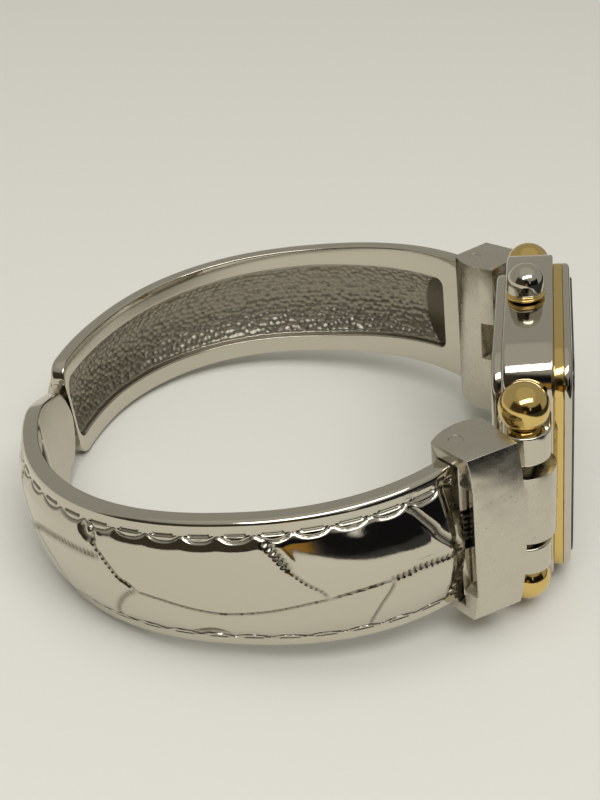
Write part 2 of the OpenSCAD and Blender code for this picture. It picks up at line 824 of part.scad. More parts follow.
module near_lower_ball() {
    ball_cap(-lug_y, -1);
}

module far_upper_ball() {
    ball_cap(lug_y, 1);
}

module far_lower_ball() {
    ball_cap(lug_y, -1);
}

// End blocks and hinges
// Each is drawn on the near side in its own frame: origin on the hinge axis, +x towards the case,
// +y towards the wrist.

hinge_setback = 1.95;
arm_in = 0.4;
arm_end = hinge_setback + loose_fit;
hinge_at = [hinge_x, -hinge_y];
block_dir = [cos(block_angle), sin(block_angle)];
wrist_dir = [-sin(block_angle), cos(block_angle)];
lug_vec = [lug_x, -lug_y] - hinge_at;
lug_local = [lug_vec * block_dir, lug_vec * wrist_dir];
outer_slant = 13.4;
outer_len = 5.5;
side_in = [-hinge_setback, block_in];
side_out = [-hinge_setback, -block_out];
case_out = side_out + outer_len * [cos(outer_slant), -sin(outer_slant)];
case_in = side_in + block_len * [1, -0.06];
cavity_half = block_half - ear_thick;
swell_r = (block_half * block_half + block_swell * block_swell) / (2 * block_swell);

module in_block_frame() {
    translate([hinge_x, -hinge_y, 0]) rotate(block_angle) children();
}

module block_plan() {
    chord = case_in - side_in;
    half_chord = norm(chord) / 2;
    bow_r = (half_chord * half_chord + block_bow * block_bow) / (2 * block_bow);
    middle = (case_in + side_in) / 2;
    inward = [-chord[1], chord[0]] / norm(chord);
    case_side = case_in - case_out;
    intersection() {
        polygon([side_in + [0, 2], side_out - [0, 2 * block_swell], case_out - 0.7 * case_side,
            case_in + 0.5 * case_side]);
        translate(middle - inward * (bow_r - block_bow)) circle(bow_r, $fn = 2 * round_fn);
    }
}

module swing_space() {
    far = hinge_setback + 0.6;
    rim_out = rim_thick - arm_in + loose_fit;
    dome_out = rim_out + dome_rise;
    corner_r = norm([arm_end, dome_out]);
    corner_dir = open_angle + atan2(dome_out, arm_end) + 2;
    space_r = barrel_r + loose_fit;
    linear_extrude(2 * cavity_half, center = true) {
        circle(space_r, $fn = round_fn);
        polygon([[-far, arm_in + loose_fit], [0, arm_in + loose_fit], [0.1 * space_r, -0.97 * space_r],
            [-far, -rim_out - far * tan(open_angle)]]);
    }
    linear_extrude(2 * (root_half - border) + 0.3, center = true) polygon([[-far, 0], [0, 0],
        -corner_r * [cos(corner_dir), sin(corner_dir)],
        [-far, -dome_out / cos(open_angle) - far * tan(open_angle)]]);
}

module block_shape() {
    notch_half = 2.4;
    notch_in = 1.5;
    neck_wide = 4;
    difference() {
        union() {
            intersection() {
                linear_extrude(2 * block_half, center = true) block_plan();
                translate(side_out) rotate(-outer_slant) translate([-3, swell_r - block_swell, 0])
                    rotate([0, 90, 0]) cylinder(h = 14, r = swell_r, $fn = 2 * round_fn);
            }
            linear_extrude(2 * tube_half, center = true) {
                translate(lug_local) circle(tube_r, $fn = round_fn);
                translate([hinge_setback, lug_local[1] - neck_wide / 2])
                    square([lug_local[0] - hinge_setback, neck_wide]);
            }
        }
        swing_space();
        translate([case_in[0] - notch_in, case_in[1] - 1.1, -notch_half])
            cube([notch_in + over, 2 + over, 2 * notch_half]);
        cylinder(h = 2 * block_half + 2 * over, r = hinge_pin_r + seat_fit, center = true, $fn = round_fn);
        translate(lug_local)
            cylinder(h = 2 * block_half, r = lug_pin_r + run_fit, center = true, $fn = round_fn);
    }
}

module near_block() {
    color("lightgray") in_block_frame() block_shape();
}

module far_block() {
    far_side() near_block();
}

module near_hinge_pin() {
    color(steel) rod_z(hinge_x, -hinge_y, -block_half + 0.05, block_half - 0.05, hinge_pin_r);
}

module far_hinge_pin() {
    far_side() near_hinge_pin();
}

window_half = 2.4;

// The barrel's neck ends on the arm's end plane. The spring lies in the window between its two knuckles.
module barrel_shape() {
    rim_out = rim_thick - arm_in;
    difference() {
        linear_extrude(2 * root_half, center = true) {
            circle(barrel_r, $fn = round_fn);
            hull() {
                circle(barrel_r - 0.6, $fn = hull_fn);
                translate([-arm_end, -rim_out]) square([0.01, rim_out + arm_in]);
            }
        }
        cylinder(h = 3 * root_half, r = hinge_pin_r + run_fit, center = true, $fn = round_fn);
        cylinder(h = 2 * window_half, r = barrel_r + run_fit, center = true, $fn = round_fn);
    }
}

module near_barrel() {
    color(steel) in_block_frame() barrel_shape();
}

module far_barrel() {
    far_side() near_barrel();
}

// A tube swept along points, closed at its ends
module swept_wire(path, r, sides) {
    last = len(path) - 1;
    function dir(i) = let (v = path[min(i + 1, last)] - path[max(i - 1, 0)]) v / norm(v);
    function side(i) = let (v = cross(dir(i), [0, 0, 1])) v / norm(v);
    points = [for (i = [0:last], k = [0:sides - 1])
        let (a = 360 * k / sides) path[i] + r * (cos(a) * side(i) + sin(a) * cross(side(i), dir(i)))];
    walls = [for (i = [0:last - 1], k = [0:sides - 1])
        let (a = i * sides + k, b = i * sides + (k + 1) % sides)
        each [[a, b, b + sides], [a, b + sides, a + sides]]];
    first_cap = [for (k = [sides - 1:-1:0]) k];
    last_cap = [for (k = [0:sides - 1]) last * sides + k];
    polyhedron(points, concat(walls, [first_cap, last_cap]));
}

module near_hinge_spring() {
    steps = 12;
    coil_mean = (hinge_pin_r + run_fit + barrel_r) / 2;
    rise = (2 * window_half - 2 * spring_wire) / spring_turns;
    turns = spring_turns - 0.5;
    path = [for (i = [0:turns * steps]) let (a = 360 * i / steps)
        [coil_mean * cos(a), coil_mean * sin(a), rise * (i / steps - turns / 2)]];
    color(steel) in_block_frame() swept_wire(path, spring_wire / 2, 6);
}

module far_hinge_spring() {
    far_side() near_hinge_spring();
}

// Arms

arm_root = hinge_at - arm_end * block_dir + arm_in * wrist_dir;
root_fill = pow(1 - pow(-arm_root[1] / inner_half_y, plan_power), 1 / plan_power);
plan_half_x = (arm_root[0] - back_x) / (1 + root_fill);
plan_x = back_x + plan_half_x;

function signed_pow(v, p) = sign(v) * pow(abs(v), p);
// Point of the inner plan curve at parameter angle a, 180 at the back
function plan_point(a) = [plan_x + plan_half_x * signed_pow(cos(a), 2 / plan_power),
    -inner_half_y * signed_pow(sin(a), 2 / plan_power)];
root_a = acos(pow((arm_root[0] - plan_x) / plan_half_x, plan_power / 2));

// Arc length from the hinge against parameter angle, to a little past the middle
last_a = 184;
plan_steps = 300;
plan_step = (last_a - root_a) / plan_steps;
plan_list = [for (i = [0:plan_steps]) plan_point(root_a + plan_step * i)];
arc_table = [for (i = 0, s = 0; i <= plan_steps;
    s = s + norm(plan_list[min(i + 1, plan_steps)] - plan_list[i]), i = i + 1) [s, root_a + plan_step * i]];
mid_table = [for (row = arc_table) [row[1], row[0]]];
mid_len = lookup(180, mid_table);
near_len = mid_len + nose_reach;
far_len = mid_len - nose_reach - end_gap;

function soft_min(a, b, e) = (a + b - sqrt((a - b) * (a - b) + e * e)) / 2;
// A quarter-round rise from 0 to 1 over a length
function quarter(d, len) = d < len ? sqrt(1 - pow(1 - d / len, 2)) : 1;
// Half width of the plain arm at arc length s from the hinge
function band_half(s) = root_half + (back_half - root_half) * min(s / (mid_len * 0.8), 1);
function near_half(d) =
    soft_min(nose_half + nose_taper * d, band_half(near_len - d), 0.5) * quarter(d, nose_round);
function far_half(d) = band_half(far_len - d) - blunt_corner * (1 - quarter(d, blunt_corner));

// Outline of an arm's cross-section as [outward, z], the same number of points at every station
dome_steps = 8;
floor_steps = 6;
function section(w, sunk, inset) =
    let (
        b = min(border, 0.42 * w),
        e = min(rim_edge, 0.3 * w),
        rise = dome_rise * min(1, w / nose_half),
        half_dome = w - b,
        p = w - min(pocket_border + inset, 0.42 * w),
        q = p - min(0.4, 0.2 * p),
        flat = sunk > 0 ? 0 : -pad_crown,
        edge_crown = flat * (1 - pow(p / (w - e), 2))
    )
    concat(
        [[0, e - w], [e, -w], [rim_thick - e, -w], [rim_thick, e - w]],
        [for (k = [0:dome_steps])
            let (z = half_dome * (2 * k / dome_steps - 1))
            [rim_thick + rise * (1 - pow(z / half_dome, 2)), z]],
        [[rim_thick, w - e], [rim_thick - e, w], [e, w], [0, w - e], [edge_crown, p]],
        [for (k = [0:floor_steps])
            let (
                z = q * (1 - 2 * k / floor_steps),
                bowl = pocket_depth + pocket_bow * (1 - pow(z / p, 2))
            )
            [sunk > 0 ? bowl : flat * (1 - pow(z / (w - e), 2)), z]],
        [[edge_crown, -p]]
    );

pocket_wall = 0.4;
end_steps = 7;
body_steps = 34;
// Stations as [distance from the free end, pocket open]
function body_stations(d0, len) = let (d1 = len - pocket_root, first = d0 + pocket_wall) concat(
    [[d0, 0]],
    [for (k = [0:body_steps]) [first + (d1 - first) * k / body_steps, 1]],
    [[d1 + pocket_wall, 0], [len, 0]]);
near_stations = concat(
    [for (k = [0:end_steps]) [nose_round * (1 - cos(8 + 82 * k / end_steps)), 0]],
    [[pocket_nose * 0.6, 0]], body_stations(pocket_nose, near_len));
far_stations = concat(
    [for (k = [0:end_steps - 1]) [blunt_corner * (1 - cos(90 * k / end_steps)), 0]],
    body_stations(pocket_blunt, far_len));

function ring_at(s, w, sunk) =
    let (
        a = lookup(s, arc_table),
        v = s <= 0 ? -block_dir : plan_point(a + 0.05) - plan_point(a - 0.05),
        t = v / norm(v),
        n = [-t[1], t[0]],
        p = plan_point(a),
        inset = pocket_narrow * max(0, 1 - s / (mid_len / 3))
    )
    [for (c = section(w, sunk, inset)) [p[0] + n[0] * c[0], p[1] + n[1] * c[0], c[1]]];

// A closed solid through rings of equally many points
module ring_solid(rings) {
    count = len(rings[0]);
    last = len(rings) - 1;
    end = last * count;
    walls = [for (i = [0:last - 1], k = [0:count - 1])
        let (a = i * count + k, b = i * count + (k + 1) % count)
        each [[a, b, b + count], [a, b + count, a + count]]];
    caps = [for (k = [1:count - 2]) each [[0, k + 1, k], [end, end + k, end + k + 1]]];
    polyhedron([for (r = rings, p = r) p], concat(walls, caps));
}

module near_arm() {
    color(steel) ring_solid([for (s = near_stations) ring_at(near_len - s[0], near_half(s[0]), s[1])]);
}

module far_arm() {
    color(steel) far_side()
        ring_solid([for (s = far_stations) ring_at(far_len - s[0], far_half(s[0]), s[1])]);
}

case_middle();
case_back();
case_back_gasket();
gold_ring();
bezel();
crystal();
crystal_gasket();
dial_flange();
dial();
hour_markers();
hour_hand();
minute_hand();
second_hand();
main_plate();
movement_holder();
train_bridge();
bridge_screws();
circuit_board();
quartz_can();
coil();
stator();
rotor();
intermediate_wheel();
second_wheel();
third_wheel();
centre_wheel();
minute_wheel();
hour_wheel();
battery();
battery_clamp();
setting_stem();
crown_tube();
crown_gasket();
crown();
crown_collar();
near_lug_pin();
far_lug_pin();
near_upper_ball();
near_lower_ball();
far_upper_ball();
far_lower_ball();
near_block();
far_block();
near_hinge_pin();
far_hinge_pin();
near_hinge_spring();
far_hinge_spring();
near_barrel();
far_barrel();
near_arm();
far_arm();
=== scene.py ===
"""Cuff watch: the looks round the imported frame, laid out as an add-on and run as a script.

Everything is in metres in the frame's own axes: +Z along the bangle's axis to the crown side, +X out through
the dial, the near arm at -Y. The watch lies on its lower flank, so the floor is the plane that is tilted.
"""
import json
import math

import bmesh
import bpy
import numpy as np
from bpy.props import FloatProperty, FloatVectorProperty, PointerProperty
from bpy.types import Operator, Panel, PropertyGroup
from mathutils import Matrix, Vector


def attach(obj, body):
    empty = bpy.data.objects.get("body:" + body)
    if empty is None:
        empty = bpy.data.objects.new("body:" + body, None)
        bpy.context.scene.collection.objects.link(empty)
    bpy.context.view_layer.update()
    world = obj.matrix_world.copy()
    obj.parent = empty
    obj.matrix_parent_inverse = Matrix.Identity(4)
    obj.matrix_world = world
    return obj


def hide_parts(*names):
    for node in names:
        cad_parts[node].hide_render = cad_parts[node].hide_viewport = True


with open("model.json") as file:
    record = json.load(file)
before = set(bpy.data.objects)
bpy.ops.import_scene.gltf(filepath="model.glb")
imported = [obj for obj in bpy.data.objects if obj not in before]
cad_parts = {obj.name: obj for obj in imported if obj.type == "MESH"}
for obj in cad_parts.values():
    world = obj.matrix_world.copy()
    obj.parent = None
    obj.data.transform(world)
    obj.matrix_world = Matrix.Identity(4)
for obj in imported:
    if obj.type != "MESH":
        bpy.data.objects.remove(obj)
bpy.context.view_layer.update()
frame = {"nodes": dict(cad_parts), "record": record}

bl_info = {
    "name": "Cuff Watch",
    "version": (1, 0, 0),
    "blender": (4, 5, 0),
    "location": "3D View > Sidebar > Cuff Watch",
    "description": "Dresses the packed cuff watch: embossed arms, head, hinges and studio",
    "category": "Object",
}

MM = 0.001
# Crease depth in millimetres at which each crease has the depth that is listed for it
FULL_DEPTH = 0.26
NODES = frame["nodes"]


# Settings


class CuffArmSettings(PropertyGroup):
    """Sizes of the two embossed arms."""

    stitch_pitch: FloatProperty(
        name="Stitch pitch", description="Distance between the raised stitches along an arm's borders",
        default=3.4 * MM, min=2 * MM, max=6 * MM, unit="LENGTH")
    stitch_height: FloatProperty(
        name="Stitch height", description="Height of a half-moon stitch's lip above the border",
        default=0.09 * MM, min=0, max=0.3 * MM, unit="LENGTH")
    crease_depth: FloatProperty(
        name="Crease depth", description="Depth of the hide pattern's creases",
        default=FULL_DEPTH * MM, min=0, max=0.5 * MM, unit="LENGTH")
    pebble_pitch: FloatProperty(
        name="Pebble pitch", description="Distance between the pebbles of the pocket's floor",
        default=0.74 * MM, min=0.5 * MM, max=2 * MM, unit="LENGTH")
    pebble_height: FloatProperty(
        name="Pebble height", description="Height of the pebbles of the pocket's floor",
        default=0.19 * MM, min=0, max=0.3 * MM, unit="LENGTH")


class CuffMetalSettings(PropertyGroup):
    """Colours of the metals and the dial."""

    steel: FloatVectorProperty(
        name="Steel", description="Colour of the polished steel",
        default=(0.61, 0.57, 0.48), min=0, max=1, size=3, subtype="COLOR")
    # This colour darkens the metals' specks as tarnish, and the arms' creases, slots, seams and corners as
    # painted shade
    tarnish: FloatVectorProperty(
        name="Tarnish", description="Colour that gathers in creases and corners",
        default=(0.075, 0.06, 0.035), min=0, max=1, size=3, subtype="COLOR")
    gold: FloatVectorProperty(
        name="Gold", description="Colour of the gold plate",
        default=(0.76, 0.55, 0.20), min=0, max=1, size=3, subtype="COLOR")
    dial: FloatVectorProperty(
        name="Dial", description="Colour of the dial",
        default=(0.82, 0.79, 0.71), min=0, max=1, size=3, subtype="COLOR")


class CuffStudioSettings(PropertyGroup):
    """Floor, lamps and camera."""

    floor: FloatVectorProperty(
        name="Floor", description="Colour of the floor",
        default=(0.63, 0.62, 0.565), min=0, max=1, size=3, subtype="COLOR")
    lamp_power: FloatProperty(
        name="Lamp", description="Power of the soft lamp overhead", default=8.6, min=0, unit="POWER")
    lens: FloatProperty(
        name="Lens", description="Focal length on a 36 mm long side", default=56.52, min=20, max=200)


# Mesh helpers


def shown(mesh, sharp_deg):
    """An object with this mesh and its name, smooth apart from edges sharper than sharp_deg."""
    mesh.shade_smooth()
    mesh.set_sharp_from_angle(angle=math.radians(sharp_deg))
    obj = bpy.data.objects.new(mesh.name, mesh)
    bpy.context.scene.collection.objects.link(obj)
    return obj


def new_piece(name, verts, faces, sharp_deg):
    """An object made of vertices and faces, with all faces turned outwards."""
    mesh = bpy.data.meshes.new(name)
    mesh.from_pydata([tuple(v) for v in verts], [], faces)
    mesh.validate()
    bm = bmesh.new()
    bm.from_mesh(mesh)
    bmesh.ops.recalc_face_normals(bm, faces=bm.faces)
    bm.to_mesh(mesh)
    bm.free()
    return shown(mesh, sharp_deg)


def loft(rings, closed=False):
    """Vertices and faces through rings of equally many points, capped or else closed in a loop."""
    count, rows = len(rings[0]), len(rings)
    verts = np.concatenate([np.asarray(r, float) for r in rings])
    faces = []
    for i in range(rows if closed else rows - 1):
        a0, b0 = i * count, ((i + 1) % rows) * count
        for k in range(count):
            k2 = (k + 1) % count
            faces.append((a0 + k, a0 + k2, b0 + k2, b0 + k))
    if not closed:
        faces.append(tuple(range(count)))
        faces.append(tuple(range((rows - 1) * count, rows * count)))
    return verts, faces


def joined(parts):
    """Several vertex and face lists as one."""
    verts, faces, base = [], [], 0
    for v, f in parts:
        verts.append(np.asarray(v, float))
        faces += [tuple(i + base for i in face) for face in f]
        base += len(v)
    return np.concatenate(verts), faces


def round_rect(half_a, half_b, r, corner=14, side=6):
    """Points of a rounded rectangle, always the same number whatever its size."""
    pts = []
    for q, (sa, sb) in enumerate(((1, 1), (-1, 1), (-1, -1), (1, -1))):
        ca, cb = sa * (half_a - r), sb * (half_b - r)
        start = math.pi / 2 * q
        arc = [(ca + r * math.cos(start + math.pi / 2 * k / corner),
                cb + r * math.sin(start + math.pi / 2 * k / corner)) for k in range(corner + 1)]
        pts += arc
        nxt_start = math.pi / 2 * (q + 1)
        nsa, nsb = ((-1, 1), (-1, -1), (1, -1), (1, 1))[q]
        end = (nsa * (half_a - r) + r * math.cos(nxt_start), nsb * (half_b - r) + r * math.sin(nxt_start))
        pts += [(arc[-1][0] + (end[0] - arc[-1][0]) * k / side,
                 arc[-1][1] + (end[1] - arc[-1][1]) * k / side) for k in range(1, side)]
    return np.array(pts)


def place(obj, body, slot, material, *nodes):
    """Puts a piece on its body, with its finish and the nodes that it stands for."""
    obj.data.materials.clear()
    obj.data.materials.append(material)
    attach(obj, body)
    if nodes:
        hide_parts(*nodes)
    return obj


def build(name, solid, sharp_deg, body, slot, node):
    """Places a piece made of vertices and faces in millimetres, in the finish of its slot."""
    verts, faces = solid
    place(new_piece(name, verts * MM, faces, sharp_deg), body, slot, finish_of(slot), node)


# Materials


def principled(name):
    """A new material, its node tree and its shader."""
    mat = bpy.data.materials.new(name)
    mat.use_nodes = True
    return mat, mat.node_tree, mat.node_tree.nodes["Principled BSDF"]


def node_of(tree, kind, **values):
    """A new node: each value goes to the socket or else to the option of that name."""
    node = tree.nodes.new(kind)
    for key, value in values.items():
        if key in node.inputs:
            node.inputs[key].default_value = value
        else:
            setattr(node, key, value)
    return node


def feed(tree, socket, value):
    """Links a socket to another one, or sets it to a number."""
    if isinstance(value, bpy.types.NodeSocket):
        tree.links.new(value, socket)
    else:
        socket.default_value = value


def calc(tree, operation, *terms):
    """A socket with the result of an operation on sockets or numbers."""
    node = node_of(tree, "ShaderNodeMath", operation=operation)
    for socket, term in zip(node.inputs, terms):
        feed(tree, socket, term)
    return node.outputs[0]


def ramp(tree, value, low, high, first=0, last=1, kind="LINEAR"):
    """A socket that goes from first to last while the value goes from low to high."""
    node = node_of(tree, "ShaderNodeMapRange", interpolation_type=kind)
    for key, number in (("From Min", low), ("From Max", high), ("To Min", first), ("To Max", last)):
        node.inputs[key].default_value = number
    tree.links.new(value, node.inputs["Value"])
    return node.outputs[0]


def noise(tree, coords, scale, detail, roughness=0.5):
    node = node_of(tree, "ShaderNodeTexNoise", Scale=scale, Detail=detail, Roughness=roughness)
    tree.links.new(coords, node.inputs["Vector"])
    return node.outputs["Fac"]


def blend(tree, share, first, second):
    """A socket with a mix of two colours, of which the first may be a socket itself."""
    mix = node_of(tree, "ShaderNodeMix", data_type="RGBA")
    tree.links.new(share, mix.inputs[0])
    feed(tree, mix.inputs[6], first if isinstance(first, bpy.types.NodeSocket) else (*first, 1))
    mix.inputs[7].default_value = (*second, 1)
    return mix.outputs[2]


def measured(tree, coords, axis):
    """A socket with the length of a coordinate along an axis."""
    dot = node_of(tree, "ShaderNodeVectorMath", operation="DOT_PRODUCT")
    tree.links.new(coords, dot.inputs[0])
    dot.inputs[1].default_value = axis
    return dot.outputs["Value"]


def fine_relief(tree, shader, height, strength):
    bump = node_of(tree, "ShaderNodeBump", Strength=strength, Distance=0.0002)
    tree.links.new(height, bump.inputs["Height"])
    tree.links.new(bump.outputs["Normal"], shader.inputs["Normal"])


def metal(name, colour, tarnish, roughness, grain=0.02, brushed=None, speck=0.0, recess=0.0):
    """A metal with cloudy roughness, scratches, tarnish in specks, and tarnish and painted shade where the
    mesh marks them.
    """
    mat, tree, shader = principled(name)
    shader.inputs["Metallic"].default_value = 1.0
    coords = node_of(tree, "ShaderNodeTexCoord").outputs["Object"]
    cloud = noise(tree, coords, 420.0, 4.0, 0.6)
    rough = ramp(tree, cloud, 0.3, 0.75, roughness * 0.7, roughness * 1.5)
    shade_and_tarnish = ramp(tree, noise(tree, coords, 2600.0, 3.0, 0.7), 0.66, 0.74, 0, speck)
    # Where the mesh marks it, painted shade and tarnish darken the colour and roughen it
    if recess:
        marked = node_of(tree, "ShaderNodeAttribute", attribute_name="recess").outputs["Fac"]
        shade_and_tarnish = calc(tree, "MAXIMUM", shade_and_tarnish, calc(tree, "MULTIPLY", marked, recess))
        satin = node_of(tree, "ShaderNodeAttribute", attribute_name="satin").outputs["Fac"]
        rough = calc(tree, "MULTIPLY_ADD", satin, 0.3, rough)
    tree.links.new(blend(tree, shade_and_tarnish, colour, tarnish), shader.inputs["Base Color"])
    tree.links.new(calc(tree, "MULTIPLY_ADD", shade_and_tarnish, 0.35, rough), shader.inputs["Roughness"])
    # Scratches or brushing
    mapping = node_of(tree, "ShaderNodeMapping", Scale=brushed or (1.0, 0.35, 1.0))
    tree.links.new(coords, mapping.inputs["Vector"])
    lines = noise(tree, mapping.outputs["Vector"], 9000.0 if brushed else 3200.0, 2.0)
    fine_relief(tree, shader, lines, grain)
    return mat


def plain(name, colour, roughness, bump=0.02, scale=1500.0, vary=0.06, **sockets):
    """Moulded, painted or rubber finish with slight colour change and a fine grain."""
    mat, tree, shader = principled(name)
    shader.inputs["Roughness"].default_value = roughness
    for key, value in sockets.items():
        shader.inputs[key.replace("_", " ")].default_value = value
    fleck = noise(tree, node_of(tree, "ShaderNodeTexCoord").outputs["Object"], scale, 3.0)
    dark, light = ([min(1, c * (1 + change)) for c in colour] for change in (-vary, vary))
    tree.links.new(blend(tree, fleck, dark, light), shader.inputs["Base Color"])
    fine_relief(tree, shader, fleck, bump)
    return mat


# Each finish as (maker, colours, roughness, options): a colour given by name is one of the panel's settings
BRUSHED = (1.0, 1.0, 0.05)
LOOKS = {
    # The arms' steel takes painted shade and tarnish where their mesh marks it
    "arm_steel": (metal, ("steel", "tarnish"), 0.07, {"grain": 0.015, "recess": 0.9}),
    "polished_steel": (metal, ("steel", "tarnish"), 0.07, {"grain": 0.02, "speck": 0.25}),
    "satin_steel": (metal, ("steel", "tarnish"), 0.26, {"grain": 0.05, "brushed": BRUSHED, "speck": 0.4}),
    "block_steel": (metal, ("steel", "tarnish"), 0.24, {"grain": 0.03, "brushed": BRUSHED, "speck": 0.5}),
    "yellow_gold": (metal, ("gold", (0.16, 0.09, 0.03)), 0.1, {"grain": 0.02, "speck": 0.35}),
    "brass": (metal, ((0.76, 0.56, 0.26), (0.2, 0.12, 0.05)), 0.3,
              {"grain": 0.05, "brushed": (1.0, 0.05, 1.0)}),
    "copper_wire": (metal, ((0.72, 0.38, 0.2), (0.2, 0.08, 0.04)), 0.3,
                    {"grain": 0.3, "brushed": (1.0, 1.0, 4.0)}),
    "magnet": (metal, ((0.25, 0.25, 0.26), (0.05, 0.05, 0.05)), 0.4, {"grain": 0.1}),
    "seal_rubber": (plain, ((0.03, 0.03, 0.03),), 0.6, {}),
    "dial_white": (plain, ("dial",), 0.35, {"bump": 0.05, "scale": 4000.0, "vary": 0.03}),
    "holder_plastic": (plain, ((0.7, 0.67, 0.58),), 0.45, {}),
    "board_green": (plain, ((0.03, 0.2, 0.09),), 0.4, {"vary": 0.2}),
    "mineral_glass": (plain, ((0.95, 0.97, 0.97),), 0.03,
                      {"bump": 0.0, "vary": 0.01, "Transmission_Weight": 1.0, "IOR": 1.5}),
}
FINISHES = {}


def finish_of(name):
    """The material of one finish, made the first time it is asked for."""
    if name not in FINISHES:
        metals = bpy.context.scene.cuff_metals
        maker, colours, roughness, options = LOOKS[name]
        colours = [tuple(getattr(metals, c)) if isinstance(c, str) else c for c in colours]
        FINISHES[name] = maker(name, *colours, roughness, **options)
    return FINISHES[name]


# Stage


def support_plane():
    """Normal and distance of the floor that the lying watch rests on with its head and its arms."""
    def points(names):
        return np.concatenate([[v.co for v in bpy.data.objects[name].data.vertices] for name in names])

    head = points(["case_shell", "case_cover", "bezel_frame", "near_lower_cap", "far_lower_cap"])
    arms = points(["near_arm_cast", "far_arm_cast"])
    flat, steep = math.radians(4), math.radians(14)
    for _ in range(20):
        tilt = (flat + steep) / 2
        normal = np.array([math.sin(tilt), 0, math.cos(tilt)])
        if (arms @ normal).min() > (head @ normal).min():
            flat = tilt
        else:
            steep = tilt
    return Vector(normal), min((arms @ normal).min(), (head @ normal).min())


class CUFF_OT_stage(Operator):
    """Make the floor, the room that the metal mirrors, the lamps and the camera"""

    bl_idname = "cuff.stage"
    bl_label = "Stage"

    def execute(self, context):
        studio = context.scene.cuff_studio
        normal, depth = support_plane()
        turn = Vector((0, 0, 1)).rotation_difference(normal)
        bpy.ops.mesh.primitive_grid_add(x_subdivisions=4, y_subdivisions=4, size=FLOOR_SIZE)
        floor = context.active_object
        floor.name = "floor"
        floor.rotation_mode = "QUATERNION"
        floor.rotation_quaternion = turn
        floor.location = normal * (depth - FLOOR_GAP)
        mat, tree, shader = principled("floor_cloth")
        shader.inputs["Roughness"].default_value = 0.9
        # The cloth ends on a dark table: only the polished metal sees it, in its reflections
        *axis, start = CLOTH_EDGE
        out = measured(tree, node_of(tree, "ShaderNodeTexCoord").outputs["Object"], axis)
        past = ramp(tree, out, start, start + CLOTH_HEM, kind="SMOOTHSTEP")
        mirrored = node_of(tree, "ShaderNodeLightPath").outputs["Is Glossy Ray"]
        cloth = blend(tree, calc(tree, "MULTIPLY", past, mirrored), studio.floor, TABLE_COLOUR)
        tree.links.new(cloth, shader.inputs["Base Color"])
        floor.data.materials.append(mat)
        self.walls(context, turn)
        self.lamps(context)
        self.camera(context)
        context.scene.view_settings.view_transform = "Standard"
        return {"FINISHED"}

    def walls(self, context, turn):
        """A dim room, in patches round the tilted floor, which the polished metal mirrors."""
        world = bpy.data.worlds.new("studio")
        context.scene.world = world
        world.use_nodes = True
        tree = world.node_tree
        coords = node_of(tree, "ShaderNodeTexCoord").outputs["Generated"]
        x, y, z = (measured(tree, coords, axis) for axis in turn.to_matrix().transposed())
        across = calc(tree, "ARCTAN2", x, calc(tree, "MULTIPLY", y, -1))
        height = calc(tree, "ARCSINE", z)
        colour = ROOM_COLOUR
        for (left, right), (low, high), soft, shade in ROOM:
            inside = 1
            for angle, edge, sign in ((across, left, 1), (across, right, -1),
                                      (height, low, 1), (height, high, -1)):
                bounds = (math.radians(edge - sign * soft), math.radians(edge + sign * soft))
                inside = calc(tree, "MULTIPLY", inside, ramp(tree, angle, *bounds, kind="SMOOTHSTEP"))
            colour = blend(tree, inside, colour, shade)
        # The camera itself sees a plain pale backdrop past the floor's end
        seen = node_of(tree, "ShaderNodeLightPath").outputs["Is Camera Ray"]
        tree.links.new(blend(tree, seen, colour, BACKDROP), tree.nodes["Background"].inputs["Color"])

    def lamps(self, context):
        for name, at, size, power, mirrored in LAMPS:
            data = bpy.data.lights.new(name, "AREA")
            data.shape = "RECTANGLE"
            data.size, data.size_y = size
            data.energy = power * context.scene.cuff_studio.lamp_power
            lamp = bpy.data.objects.new(name, data)
            context.scene.collection.objects.link(lamp)
            lamp.location = at
            lamp.rotation_mode = "QUATERNION"
            lamp.rotation_quaternion = Vector(at).to_track_quat("Z", "Y")
            lamp.visible_glossy = mirrored

    def camera(self, context):
        data = bpy.data.cameras.new("camera")
        data.lens = context.scene.cuff_studio.lens
        data.sensor_width = 36.0
        data.sensor_fit = "AUTO"
        data.shift_x, data.shift_y = CAMERA_SHIFT
        data.clip_start, data.clip_end = 0.01, 50.0
        camera = bpy.data.objects.new("camera", data)
        context.scene.collection.objects.link(camera)
        right, up, ahead = (Vector(v).normalized() for v in CAMERA_AXES)
        axes = Matrix((right, up, -ahead)).transposed()
        camera.matrix_world = Matrix.Translation(CAMERA_AT) @ axes.to_4x4()
        context.scene.camera = camera


CAMERA_AT = (0.02568, -0.11944, 0.07559)
CAMERA_AXES = ((0.9808, 0.1558, -0.1168), (0.0029, 0.5884, 0.8085), (-0.1948, 0.7934, -0.5767))
CAMERA_SHIFT = (-0.0002, 0.1197)
# The cloth's edge as a direction in the floor and the distance along it, and how softly it ends
CLOTH_EDGE, CLOTH_HEM, TABLE_COLOUR = (1.0, 0.0, 0.0, 0.088), 0.006, (0.015, 0.015, 0.017)
FLOOR_SIZE, FLOOR_GAP = 6.0, 0.00002
# The room as (angles across, angles over the floor, softness, colour), in degrees: across runs from the
# front to the right
ROOM_COLOUR, BACKDROP = (0.36, 0.355, 0.32), (0.42, 0.41, 0.37)
ROOM = (
    ((-66, 15), (-12, 36), 5, (0.05, 0.041, 0.029)),
    ((12, 84), (-25, 27), 3, (0.008, 0.008, 0.009)),
    ((-10, 20), (14, 30), 4, (0.008, 0.008, 0.009)),
    ((0, 10), (-3, 12), 3, (0.34, 0.18, 0.03)),
    ((26, 30), (15, 26), 2, (0.9, 0.88, 0.82)),
    ((-180, 180), (52, 100), 6, (0.47, 0.46, 0.42)),
)
# The lamps as (name, place, size, share of the power, whether the metal mirrors it)
LAMPS = (
    ("lamp_overhead", (0.25, -0.3, 1.05), (1.1, 1.1), 1.0, False),
    ("lamp_strip", (0.109, -0.27, 0.4), (0.5, 0.13), 0.11, True),
)


# Arms

